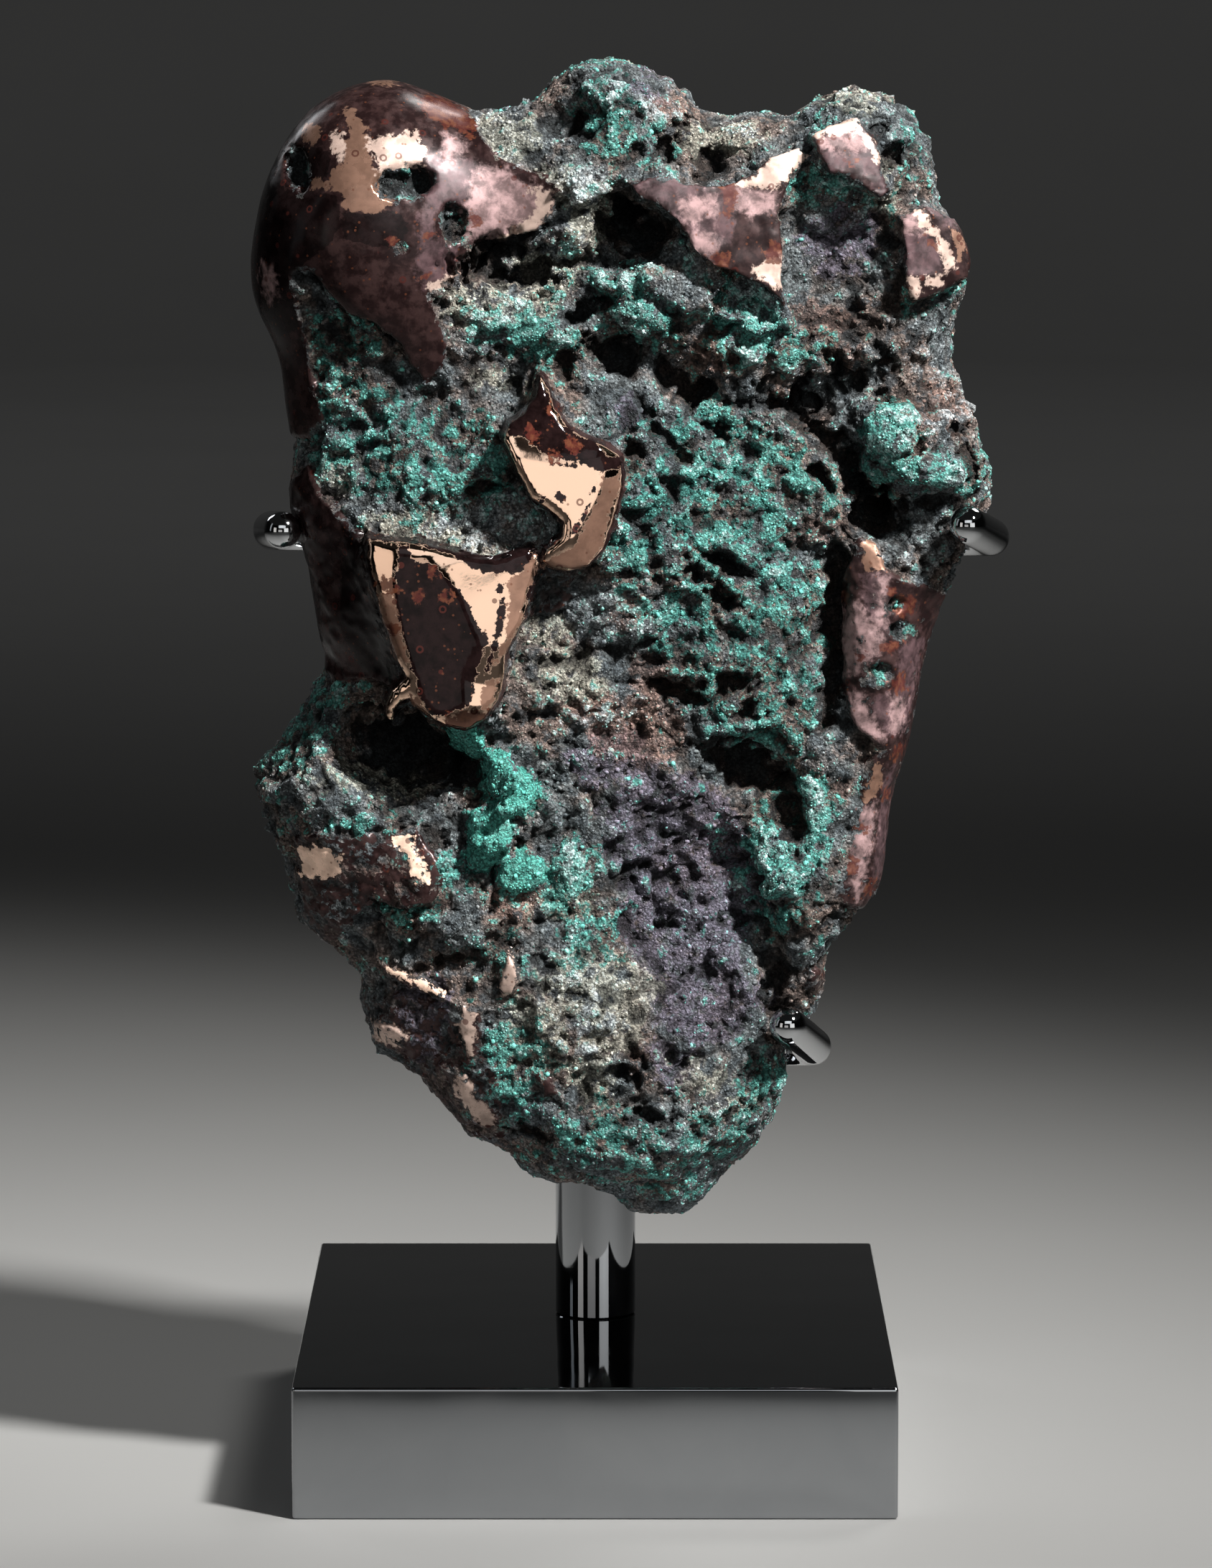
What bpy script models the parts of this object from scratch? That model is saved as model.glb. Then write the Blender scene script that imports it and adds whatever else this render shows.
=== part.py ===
"""Native copper nugget held upright by three rod fingers on a polished steel stand.

World axes: +Z is up, the front of the nugget faces -Y, and the origin is the middle of the
base's underside.  Lengths are written in millimetres and scaled to metres as meshes are made.
"""
import math

import bmesh
import bpy
import numpy as np
from mathutils import Matrix, Vector, noise

MM = 0.001
GAP = 0.3                     # left between pieces that touch

# Steel stand
BASE_WIDTH = 203.2
BASE_DEPTH = 254.0
BASE_HEIGHT = 45.0
BASE_BEVEL = 1.2
POST_RADIUS = 14.0
POST_TOP = 345.0
POST_CHAMFER = 2.0
POST_SIDES = 48
ROD_RADIUS = 6.35
ROD_BEND_RADIUS = 16.0
ROD_BEND_STEP = 15.0          # degrees between the rings of a bend
ROD_TIP_STEPS = 4

# Centre lines of the three rods, from the post's axis to the middle of each rounded tip
ROD_ROUTES = {
    "left_arm": ((0, 0, 320.5), (-112.5, 0, 320.5), (-109.6, -58, 326.8), (-105.1, -79, 328.6)),
    "right_arm": ((0, 0, 318.6), (137.2, 0, 318.6), (133.2, -74, 325.8), (124.5, -98, 332.1)),
    "lower_arm": ((0, 0, 139.3), (76.3, 0, 139.3), (74.2, -64, 150.4), (65.1, -94, 162.4)),
}

# Nugget: an extruded outline whose rim is rounded and whose two sides are then shaped
NUGGET_MIDDLE = -62.0         # y of the plane that halves its thickness
NUGGET_HALF = 36.0
NUGGET_BACK_LIMIT = -9.0      # furthest back that its rear reaches
RIM_ROUNDING = 34.0           # how far in from the rim its thickness still grows
RIM_SHARE = 0.28              # thickness left right at the rim
BLANK_VOXEL = 3.2
SHAPED_VOXEL = 2.6
NUGGET_TRIANGLES = 7500

# Outline seen from the front, (x, z), clockwise from the top of the upper left lobe
NUGGET_OUTLINE = (
    (-79, 478), (-67, 479), (-55, 474), (-48, 472), (-41, 468), (-31, 469), (-20, 474), (-13, 482),
    (-4, 487), (5, 488), (15, 485), (29, 479), (31, 474), (36, 469), (43, 465), (53, 468),
    (64, 468), (71, 471), (75, 476), (83, 479), (97, 475), (107, 468), (113, 459), (116, 449),
    (115, 441), (121, 432), (126, 421), (125, 404), (121, 396), (120, 385), (126, 374), (131, 360),
    (136, 349), (137, 341), (134, 332), (127, 319), (121, 307), (115, 297), (111, 281), (108, 266),
    (106, 252), (101, 240), (99, 225), (97, 208), (91, 195), (81, 188), (80, 173), (77, 163),
    (68, 156), (65, 149), (67, 140), (62, 128), (58, 117), (49, 111), (41, 102), (35, 95),
    (23, 91.5), (12, 92), (3, 98), (-4, 103), (-15, 102), (-22, 107), (-28, 113), (-41, 118),
    (-50, 126), (-57, 136), (-64, 145), (-76, 152), (-80, 158), (-81, 170), (-83, 179), (-93, 186),
    (-101, 194), (-105, 204), (-109, 220), (-113, 231), (-118, 241), (-115, 248), (-107, 256),
    (-102, 266), (-98, 274), (-92, 277.5), (-83, 279), (-90, 284), (-94, 293), (-96, 310),
    (-99, 322), (-103, 335), (-104, 346), (-102, 355), (-105, 371), (-106, 387), (-110, 395),
    (-115, 404), (-116, 418), (-114, 432), (-110, 447), (-102, 462), (-92, 472),
)

# Smooth rises on the front: x, z, reach across, reach up, turn in degrees, height
FRONT_SWELLS = (
    (-76, 425, 50, 62, 12, 11),       # smooth upper left lobe
    (5, 478, 24, 16, 0, 5),           # knob on the top edge
    (95, 462, 26, 20, -20, 7),        # upper right knob
    (112, 424, 18, 26, 10, 8),        # right cheek below it
    (112, 356, 34, 24, -30, 10),      # right lobe above its ledge
    (-52, 344, 42, 20, 8, 6),         # crust shelf over the shield face
    (-50, 292, 46, 52, 12, 6),        # body of the shield face
    (4, 338, 34, 46, 0, 5),           # body of the flame face
    (-90, 240, 30, 34, 20, 7),        # lower left lobe
    (-48, 205, 40, 26, -30, 6),
    (-28, 236, 14, 22, 20, 6),        # rounded lumps below the shield's point
    (97, 280, 16, 62, 6, 9),          # long blade on the right
    (92, 222, 12, 34, 4, 6),
    (40, 300, 40, 50, 20, 4),
    (40, 400, 44, 26, -10, 4),
    (-8, 398, 26, 16, 0, 3),
    (-10, 170, 40, 44, 10, 5),
    (36, 172, 26, 40, 8, 4),
    (20, 124, 52, 22, 8, 6),          # bottom lump
    (72, 205, 16, 44, 16, 8),         # strip between the lower right cleft and the rim
    (26, 345, 26, 56, 16, 4),
    (30, 196, 34, 62, 8, -9),         # broad dark trough
)
# Sunken places on the front with steep walls: x, z, reach across, reach up, turn, depth
FRONT_HOLLOWS = (
    (12, 431, 11, 13, -15, 24),       # round black pit
    (-24, 419, 25, 8, 12, 9),         # band under the pink flake
    (-3, 405, 8, 6, 15, 10),
    (6, 391, 12, 7, -25, 11),
    (-28, 379, 8, 5, 25, 7),
    (38, 455, 6, 9, -10, 8),
    (80, 424, 21, 30, 10, 7),         # rough hollow between the three copper faces
    (86, 379, 14, 6, 5, 7),
    (68, 373, 10, 6, -10, 9),
    (28, 381, 16, 6, -35, 7),
    (94, 334, 9, 9, 20, 11),          # under the right lobe
    (-67, 256, 25, 15, -14, 26),      # black cavity under the shield
    (-46, 249, 12, 9, -10, 16),
    (50, 249, 17, 11, 25, 15),        # black cavity right of the middle
    (64, 232, 10, 17, -20, 12),
    (-56, 184, 12, 4, 10, 8),
    (-21, 126, 12, 4, 8, 7),
    (10, 104, 13, 8, 8, 7),           # earthy bowl in the bottom edge
    (-98, 449, 8, 12, 10, 5),
    (-63, 446, 10, 8, 10, 3),
    (58, 153, 8, 12, 12, 5),          # beside the lower finger
)
# Narrow clefts on the front: points, half width, depth
FRONT_CLEFTS = (
    (((28, 423), (40, 413), (58, 406)), 6.0, 11),                      # under the brow face
    (((65, 373), (76, 373), (89, 379), (118, 385)), 4.0, 9),           # above the right lobe
    (((74, 374), (84, 356), (93, 337)), 4.5, 10),                      # left of the right lobe
    (((94, 334), (108, 338), (124, 340)), 5.0, 9),                     # under the right lobe
    (((77, 322), (78, 300), (80, 276)), 5.0, 14),                      # beside the long blade
    (((44, 224), (49, 206), (56, 192), (64, 170)), 6.5, 13),           # lower right
    (((-60, 330), (-40, 341), (-14, 335)), 3.5, 5),
    (((16, 386), (27, 380), (41, 373), (41, 364), (55, 354)), 5.0, 6),
    (((-31, 296), (-21, 299), (-7, 301), (5, 304)), 3.5, 4),           # right of the shield
    (((-33, 259), (-12, 264), (17, 268)), 3.5, 4),
    (((41, 224), (49, 205), (54, 192)), 5.0, 5),
    (((-84, 400), (-68, 386), (-56, 372)), 6.0, 5),                    # below the smooth lobe
    (((-92, 420), (-88, 395), (-80, 375), (-72, 352)), 5.0, 4),
)
# Narrow raised lips on the front: points, half width, height
FRONT_LIPS = (
    (((-74, 184), (-60, 180), (-46, 172)), 5.0, 5),
    (((-42, 168), (-42, 150), (-47, 136)), 4.5, 4),
    (((-80, 268), (-92, 256), (-104, 244)), 7.0, 4),
    (((-28, 184), (-27, 174)), 5.0, 3),
)
# Polished faces: outline (x, z), level and slopes of their plane (y = level at the middle,
# changing by slope_x and slope_z for each millimetre right or up), and how far they crown
POLISHED_FACES = {
    "shield": dict(
        outline=((-79, 327), (-64, 326), (-50, 323), (-31, 321), (-22, 323), (-19, 318), (-23, 303),
                 (-30, 290), (-32, 274), (-40, 265), (-50, 264), (-60, 272), (-67, 270), (-64, 282),
                 (-70, 298), (-75, 314)),
        middle=(-50, 298), level=-113.0, slope_x=-0.10, slope_z=0.03, crown=2.5),
    "flame": dict(
        outline=((-17, 381), (-12, 367), (0, 359), (9, 352), (8, 338), (2, 322), (-9, 317),
                 (-17, 320), (-11, 330), (-22, 342), (-30, 361), (-22, 370)),
        middle=(-8, 346), level=-114.0, slope_x=-0.04, slope_z=0.05, crown=2.0),
    "brow": dict(
        outline=((11, 446), (30, 446), (46, 446), (57, 454), (70, 457), (62, 440), (63, 421),
                 (63, 406), (54, 413), (38, 418), (28, 433)),
        middle=(48, 432), level=-106.0, slope_x=0.12, slope_z=0.18, crown=2.0),
    "crown_face": dict(
        outline=((72, 463), (87, 468), (95, 458), (96, 443), (86, 446), (75, 450)),
        middle=(85, 456), level=-101.0, slope_x=0.20, slope_z=0.50, crown=1.0),
}
FACE_EDGE = 2.5               # width of the ledge that leads up to a polished face

# The rear: x, z, reach across, reach up, turn, height (negative for a hollow)
BACK_SWELLS = (
    (0, 310, 56, 84, 0, 9),           # where it leans on the post
    (-70, 420, 46, 54, 15, 8), (40, 430, 54, 36, -10, 7), (0, 350, 60, 50, 0, 5),
    (95, 350, 34, 40, 10, 7), (-60, 240, 46, 50, 20, 8), (60, 250, 36, 60, 0, 7),
    (0, 170, 48, 50, 0, 9), (-20, 300, 26, 18, 20, -9), (70, 395, 26, 14, -25, -8),
    (-78, 340, 18, 30, 0, -7), (20, 225, 24, 20, 30, -8), (-35, 455, 14, 10, 0, -5),
    (30, 120, 30, 16, 10, 5), (-50, 165, 22, 14, 35, -6),
)
# Lumpiness laid over all of it: size of the lumps and their height
LUMPS = ((34.0, 3.2), (13.0, 2.2), (6.5, 1.0))
SMOOTH_LUMPS = 0.15           # share of it left on bare copper

# Hole that goes right through the neck below the top knob
HOLE_PLACE = (-6.5, 464.0)
HOLE_RADII = (3.3, 4.4)       # half width and half height
HOLE_RECESS = (-9, 467, 11, 9, 20, 14)


def clear_scene():
    for obj in list(bpy.data.objects):
        bpy.data.objects.remove(obj, do_unlink=True)


def new_collection(name):
    collection = bpy.data.collections.new(name)
    bpy.context.scene.collection.children.link(collection)
    return collection


def make_material(name, color, roughness, metallic):
    material = bpy.data.materials.new(name)
    material.use_nodes = True
    shader = material.node_tree.nodes["Principled BSDF"]
    shader.inputs["Base Color"].default_value = (*color, 1.0)
    shader.inputs["Roughness"].default_value = roughness
    shader.inputs["Metallic"].default_value = metallic
    return material


def add_object(name, data, collection, material=None):
    obj = bpy.data.objects.new(name, data)
    collection.objects.link(obj)
    if material:
        data.materials.append(material)
    return obj


def bake(obj):
    """Swap an object's data for the mesh that its curve or modifiers give."""
    bpy.context.view_layer.update()
    evaluated = obj.evaluated_get(bpy.context.evaluated_depsgraph_get())
    mesh = bpy.data.meshes.new_from_object(evaluated)
    solid = bmesh.new()
    solid.from_mesh(mesh)
    bmesh.ops.remove_doubles(solid, verts=solid.verts, dist=0.00001)
    solid.to_mesh(mesh)
    solid.free()
    baked = bpy.data.objects.new(obj.name, mesh)
    baked.matrix_world = obj.matrix_world
    for collection in obj.users_collection:
        collection.objects.link(baked)
    name = obj.name
    bpy.data.objects.remove(obj, do_unlink=True)
    baked.name = name
    return baked


def smoothstep(low, high, value):
    share = np.clip((value - low) / (high - low), 0.0, 1.0)
    return share * share * (3.0 - 2.0 * share)


def distance_to_line(x, z, points, closed):
    """Distance in the front view from each place to a line through points."""
    nearest = np.full(len(x), np.inf)
    ends = points[1:] + points[:1] if closed else points[1:]
    for (ax, az), (bx, bz) in zip(points, ends):
        dx, dz = bx - ax, bz - az
        along = np.clip(((x - ax) * dx + (z - az) * dz) / (dx * dx + dz * dz), 0.0, 1.0)
        nearest = np.minimum(nearest, np.hypot(x - ax - along * dx, z - az - along * dz))
    return nearest


def distance_inside(x, z, outline):
    """Distance from a closed outline: positive inside it and negative outside."""
    inside = np.zeros(len(x), dtype=bool)
    for (ax, az), (bx, bz) in zip(outline, outline[1:] + outline[:1]):
        if az != bz:
            crosses = (az > z) != (bz > z)
            inside ^= crosses & (x < ax + (z - az) * (bx - ax) / (bz - az))
    distance = distance_to_line(x, z, outline, closed=True)
    return np.where(inside, distance, -distance)


def oval_radius(x, z, place):
    """0 in the middle of a turned oval and 1 on its rim."""
    middle_x, middle_z, reach_x, reach_z, turn = place
    angle = math.radians(turn)
    dx, dz = x - middle_x, z - middle_z
    across = (dx * math.cos(angle) + dz * math.sin(angle)) / reach_x
    up = (-dx * math.sin(angle) + dz * math.cos(angle)) / reach_z
    return np.hypot(across, up)


def read_points(mesh):
    flat = np.empty(len(mesh.vertices) * 3)
    mesh.vertices.foreach_get("co", flat)
    return flat.reshape(-1, 3) / MM


def write_points(mesh, points):
    mesh.vertices.foreach_set("co", (points * MM).ravel())
    mesh.update()


def add_remesh(obj, voxel):
    remesh = obj.modifiers.new("even_mesh", "REMESH")
    remesh.mode = "VOXEL"
    remesh.voxel_size = voxel * MM
    return bake(obj)


def round_rim(points):
    """Thin the flat blank towards its rim."""
    depth = np.maximum(distance_inside(points[:, 0], points[:, 2], NUGGET_OUTLINE), 0.0)
    share = np.minimum(depth / RIM_ROUNDING, 1.0)
    thickness = RIM_SHARE + (1.0 - RIM_SHARE) * np.sqrt(1.0 - (1.0 - share) ** 2)
    points[:, 1] = NUGGET_MIDDLE + (points[:, 1] - NUGGET_MIDDLE) * thickness


def lump_height(points):
    """Fractal lumpiness at every point, in millimetres."""
    height = np.zeros(len(points))
    for size, rise in LUMPS:
        height += [rise * noise.noise(Vector(point) / size) for point in points]
    return height


def front_relief(x, z):
    """How far the front stands out from the rounded blank, before its polished faces."""
    rise = np.zeros(len(x))
    for *place, height in FRONT_SWELLS:
        radius = np.minimum(oval_radius(x, z, place), 1.0)
        rise += height * (1.0 - radius ** 2) ** 2
    for *place, depth in FRONT_HOLLOWS + (HOLE_RECESS,):
        rise -= depth * (1.0 - smoothstep(0.45, 1.1, oval_radius(x, z, place)))
    for points, half_width, depth in FRONT_CLEFTS:
        away = distance_to_line(x, z, points, closed=False)
        rise -= depth * (1.0 - smoothstep(0.2, 1.2, away / half_width))
    for points, half_width, height in FRONT_LIPS:
        away = distance_to_line(x, z, points, closed=False)
        rise += height * (1.0 - smoothstep(0.0, 1.3, away / half_width))
    return rise


def shape_front(points):
    """Raise the front's forms and set its polished faces level."""
    x, y, z = points.T
    lobe = 1.0 - smoothstep(0.75, 1.05, oval_radius(x, z, (-76, 428, 44, 56, 12)))
    bare = lobe
    side = smoothstep(0.0, 16.0, NUGGET_MIDDLE - y)
    surface = y - side * front_relief(x, z)
    for face in POLISHED_FACES.values():
        inside = distance_inside(x, z, face["outline"])
        share = smoothstep(-FACE_EDGE, 0.6, inside) * side
        middle_x, middle_z = face["middle"]
        plane = face["level"] + face["slope_x"] * (x - middle_x) + face["slope_z"] * (z - middle_z)
        plane = plane - face["crown"] * smoothstep(0.0, 12.0, inside)
        surface = surface + share * (plane - surface)
        bare = np.maximum(bare, share)
    roughness = 1.0 - (1.0 - SMOOTH_LUMPS) * bare
    points[:, 1] = surface - side * roughness * lump_height(points)


def shape_back(points):
    """Raise the rear's lumps, no further back than the post allows."""
    x, y, z = points.T
    side = smoothstep(0.0, 16.0, y - NUGGET_MIDDLE)
    rise = np.zeros(len(x))
    for *place, height in BACK_SWELLS:
        radius = np.minimum(oval_radius(x, z, place), 1.0)
        rise += height * (1.0 - radius ** 2) ** 2
    recess = HOLE_RECESS[5] * (1.0 - smoothstep(0.45, 1.1, oval_radius(x, z, HOLE_RECESS[:5])))
    rise += 1.4 * lump_height(points) - recess
    points[:, 1] = np.minimum(y + side * rise, NUGGET_BACK_LIMIT)


def nugget_blank(collection):
    """The outline as a filled curve, made as thick as the nugget."""
    outline = bpy.data.curves.new("nugget_outline", "CURVE")
    outline.dimensions = "2D"
    outline.fill_mode = "BOTH"
    outline.extrude = NUGGET_HALF * MM
    outline.resolution_u = 3
    spline = outline.splines.new("BEZIER")
    spline.bezier_points.add(len(NUGGET_OUTLINE) - 1)
    for knot, (x, z) in zip(spline.bezier_points, NUGGET_OUTLINE):
        knot.co = (x * MM, z * MM, 0.0)
        knot.handle_left_type = knot.handle_right_type = "AUTO"
    spline.use_cyclic_u = True
    blank = bake(add_object("copper_nugget", outline, collection))
    upright = Matrix.Translation((0.0, NUGGET_MIDDLE * MM, 0.0)) @ Matrix.Rotation(math.pi / 2, 4, "X")
    blank.data.transform(upright)
    return blank


def cut_away(obj, cutter):
    cut = obj.modifiers.new("cut_" + cutter.name, "BOOLEAN")
    cut.operation = "DIFFERENCE"
    cut.solver = "EXACT"
    cut.object = cutter


def hide_cutter(cutter):
    cutter.hide_render = True
    cutter.display_type = "WIRE"
    return cutter


def hole_cutter(collection):
    """Oval bar along Y through the neck below the top knob."""
    bar = bmesh.new()
    bmesh.ops.create_cone(bar, cap_ends=True, segments=12, radius1=1.0, radius2=1.0,
                          depth=4.0 * NUGGET_HALF * MM)
    bar.transform(Matrix.Rotation(math.pi / 2, 4, "X"))
    bar.transform(Matrix.Diagonal((HOLE_RADII[0] * MM, 1.0, HOLE_RADII[1] * MM, 1.0)))
    bar.transform(Matrix.Translation((HOLE_PLACE[0] * MM, NUGGET_MIDDLE * MM, HOLE_PLACE[1] * MM)))
    mesh = bpy.data.meshes.new("hole_cutter")
    bar.to_mesh(mesh)
    bar.free()
    return hide_cutter(add_object("hole_cutter", mesh, collection))


def rod_route(corners):
    """Centre-line points of a bent rod and the tube's radius at each, ending in a round tip."""
    corners = [Vector(corner) for corner in corners]
    route = [corners[0]]
    for before, corner, after in zip(corners, corners[1:], corners[2:]):
        to_before = (before - corner).normalized()
        to_after = (after - corner).normalized()
        turn = math.pi - to_before.angle(to_after)
        setback = ROD_BEND_RADIUS * math.tan(turn / 2)
        room = 0.9 * min((before - corner).length / 2, (after - corner).length)
        setback = min(setback, room)
        radius = setback / math.tan(turn / 2)
        centre = corner + (to_before + to_after).normalized() * math.hypot(setback, radius)
        start = corner + to_before * setback - centre
        steps = max(1, round(math.degrees(turn) / ROD_BEND_STEP))
        axis = to_after.cross(to_before)
        for step in range(steps + 1):
            route.append(centre + Matrix.Rotation(turn * step / steps, 3, axis) @ start)
    radii = [1.0] * len(route)
    heading = (corners[-1] - corners[-2]).normalized()
    for step in range(ROD_TIP_STEPS + 1):
        angle = math.radians(84.0) * step / ROD_TIP_STEPS
        route.append(corners[-1] + heading * ROD_RADIUS * math.sin(angle))
        radii.append(math.cos(angle))
    return route, radii


def rod(name, corners, thickness, collection, material=None):
    """A round rod along a bent route, as a closed mesh."""
    curve = bpy.data.curves.new(name, "CURVE")
    curve.dimensions = "3D"
    curve.bevel_depth = thickness * MM
    curve.bevel_resolution = 4
    curve.use_fill_caps = True
    route, radii = rod_route(corners)
    spline = curve.splines.new("POLY")
    spline.points.add(len(route) - 1)
    for knot, place, radius in zip(spline.points, route, radii):
        knot.co = (*(place * MM), 1.0)
        knot.radius = radius
    tube = bake(add_object(name, curve, collection))
    if material:
        tube.data.materials.append(material)
    tube.data.shade_smooth()
    return tube


def post_solid(name, radius, bottom, top, chamfer, collection, material=None):
    """A turned upright bar with a chamfered top edge."""
    profile = bpy.data.meshes.new(name)
    outline = ((0.0, top), (radius - chamfer, top), (radius, top - chamfer), (radius, bottom), (0.0, bottom))
    corners = [(across * MM, 0.0, up * MM) for across, up in outline]
    profile.from_pydata(corners, [(i, i + 1) for i in range(len(corners) - 1)], [])
    post = add_object(name, profile, collection, material)
    turn = post.modifiers.new("turned", "SCREW")
    turn.axis = "Z"
    turn.steps = turn.render_steps = POST_SIDES
    turn.use_merge_vertices = True
    turn.merge_threshold = 0.00001
    return post


def base_block(collection, material):
    """Solid steel block with lightly broken edges."""
    block = bmesh.new()
    bmesh.ops.create_cube(block, size=1.0)
    block.transform(Matrix.Diagonal((BASE_WIDTH * MM, BASE_DEPTH * MM, BASE_HEIGHT * MM, 1.0)))
    block.transform(Matrix.Translation((0.0, 0.0, BASE_HEIGHT * MM / 2)))
    mesh = bpy.data.meshes.new("base_block")
    block.to_mesh(mesh)
    block.free()
    base = add_object("base_block", mesh, collection, material)
    broken_edges = base.modifiers.new("broken_edges", "BEVEL")
    broken_edges.width = BASE_BEVEL * MM
    broken_edges.segments = 2
    return base


def copper_nugget(collection, cutters, material):
    nugget = add_remesh(nugget_blank(collection), BLANK_VOXEL)
    for shaping in (round_rim, shape_front, shape_back):
        points = read_points(nugget.data)
        shaping(points)
        write_points(nugget.data, points)
        nugget = add_remesh(nugget, SHAPED_VOXEL)
    cut_away(nugget, hole_cutter(cutters))
    nugget = add_remesh(nugget, SHAPED_VOXEL)
    thinning = nugget.modifiers.new("fewer_faces", "DECIMATE")
    nugget.data.calc_loop_triangles()
    thinning.ratio = NUGGET_TRIANGLES / len(nugget.data.loop_triangles)
    thinning.use_collapse_triangulate = True
    nugget = bake(nugget)
    nugget.data.materials.append(material)
    return nugget


def build():
    clear_scene()
    parts = new_collection("copper_nugget_on_stand")
    cutters = new_collection("cutters")
    copper = make_material("patinated_copper", (0.22, 0.25, 0.22), 0.75, 0.4)
    steel = make_material("polished_steel", (0.72, 0.73, 0.75), 0.08, 1.0)

    base_block(parts, steel)
    post_solid("post", POST_RADIUS, BASE_HEIGHT + GAP, POST_TOP, POST_CHAMFER, parts, steel)
    cope = post_solid("cope_cutter", POST_RADIUS + GAP, BASE_HEIGHT, POST_TOP + POST_RADIUS, 1.0, cutters)
    hide_cutter(cope)
    nugget = copper_nugget(parts, cutters, copper)
    cut_away(nugget, cope)
    for name, corners in ROD_ROUTES.items():
        cut_away(rod(name, corners, ROD_RADIUS, parts, steel), cope)
        groove = hide_cutter(rod(name + "_groove", corners, ROD_RADIUS + GAP, cutters))
        cut_away(nugget, groove)


build()
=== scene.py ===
import math

import bmesh
import bpy
import numpy as np
from mathutils import Matrix, Quaternion, Vector, kdtree, noise


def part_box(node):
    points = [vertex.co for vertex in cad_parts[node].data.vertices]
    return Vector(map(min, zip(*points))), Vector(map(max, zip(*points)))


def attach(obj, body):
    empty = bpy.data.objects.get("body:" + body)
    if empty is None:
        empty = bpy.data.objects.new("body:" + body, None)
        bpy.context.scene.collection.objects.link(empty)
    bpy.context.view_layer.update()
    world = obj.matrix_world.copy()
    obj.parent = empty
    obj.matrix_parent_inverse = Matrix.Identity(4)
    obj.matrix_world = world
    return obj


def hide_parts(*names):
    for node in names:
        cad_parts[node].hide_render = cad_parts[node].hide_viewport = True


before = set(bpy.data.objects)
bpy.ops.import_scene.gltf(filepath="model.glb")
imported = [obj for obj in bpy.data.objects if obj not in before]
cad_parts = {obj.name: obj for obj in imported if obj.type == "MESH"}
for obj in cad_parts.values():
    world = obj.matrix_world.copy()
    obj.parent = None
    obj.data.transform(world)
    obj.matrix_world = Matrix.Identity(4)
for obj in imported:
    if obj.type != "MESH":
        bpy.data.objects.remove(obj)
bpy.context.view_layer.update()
mm = 0.001                    # sizes below are in millimetres; meshes are in metres


def newObject(name, data, material=None):
    thing = bpy.data.objects.new(name, data)
    bpy.context.scene.collection.objects.link(thing)
    if material:
        data.materials.append(material)
    return thing


def meshObject(name, bm, material=None, smooth=True):
    mesh = bpy.data.meshes.new(name)
    bm.to_mesh(mesh)
    bm.free()
    if smooth:
        mesh.shade_smooth()
    return newObject(name, mesh, material)


def standFor(piece, slot, *nodes):
    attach(piece, "root")
    if nodes:
        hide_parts(*nodes)


def applyModifiers(thing):
    bpy.context.view_layer.update()
    graph = bpy.context.evaluated_depsgraph_get()
    mesh = bpy.data.meshes.new_from_object(thing.evaluated_get(graph))
    thing.modifiers.clear()
    thing.data = mesh
    return thing


def readPoints(mesh, what="vertices", field="co"):
    source = getattr(mesh, what)
    flat = np.empty(len(source) * 3)
    source.foreach_get(field, flat)
    return flat.reshape(-1, 3)


def smoothStep(low, high, value):
    share = np.clip((value - low) / (high - low), 0.0, 1.0)
    return share * share * (3.0 - 2.0 * share)


def lineDistance(x, z, points, closed):
    nearest = np.full(len(x), np.inf)
    ends = points[1:] + points[:1] if closed else points[1:]
    for (ax, az), (bx, bz) in zip(points, ends):
        dx, dz = bx - ax, bz - az
        along = np.clip(((x - ax) * dx + (z - az) * dz) / (dx * dx + dz * dz), 0.0, 1.0)
        nearest = np.minimum(nearest, np.hypot(x - ax - along * dx, z - az - along * dz))
    return nearest


# Millimetres inside a closed outline; negative outside it
def insideBy(x, z, outline):
    inside = np.zeros(len(x), dtype=bool)
    for (ax, az), (bx, bz) in zip(outline, outline[1:] + outline[:1]):
        if az != bz:
            crosses = (az > z) != (bz > z)
            inside ^= crosses & (x < ax + (z - az) * (bx - ax) / (bz - az))
    away = lineDistance(x, z, outline, closed=True)
    return np.where(inside, away, -away)


def ovalRadius(x, z, place):
    middleX, middleZ, reachX, reachZ, turn = place[:5]
    angle = math.radians(turn)
    dx, dz = x - middleX, z - middleZ
    across = (dx * math.cos(angle) + dz * math.sin(angle)) / reachX
    up = (-dx * math.sin(angle) + dz * math.cos(angle)) / reachZ
    return np.hypot(across, up)


# Millimetres inside the nearest of several ovals; negative outside them
def ovalField(x, z, ovals):
    field = np.full(len(x), -60.0)
    for place in ovals:
        field = np.maximum(field, (1.0 - ovalRadius(x, z, place)) * min(place[2], place[3]))
    return field


# Fractal noise about 0 at points given in millimetres
def noiseField(points, size, seed, octaves=3, stretch=(1, 1, 1)):
    shift = np.array((seed * 3.17, seed * 7.31, seed * 1.93))
    scaled = points / size * np.array(stretch) + shift
    return np.array([noise.fractal(Vector(p), 0.9, 2.1, octaves) for p in scaled])


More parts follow.
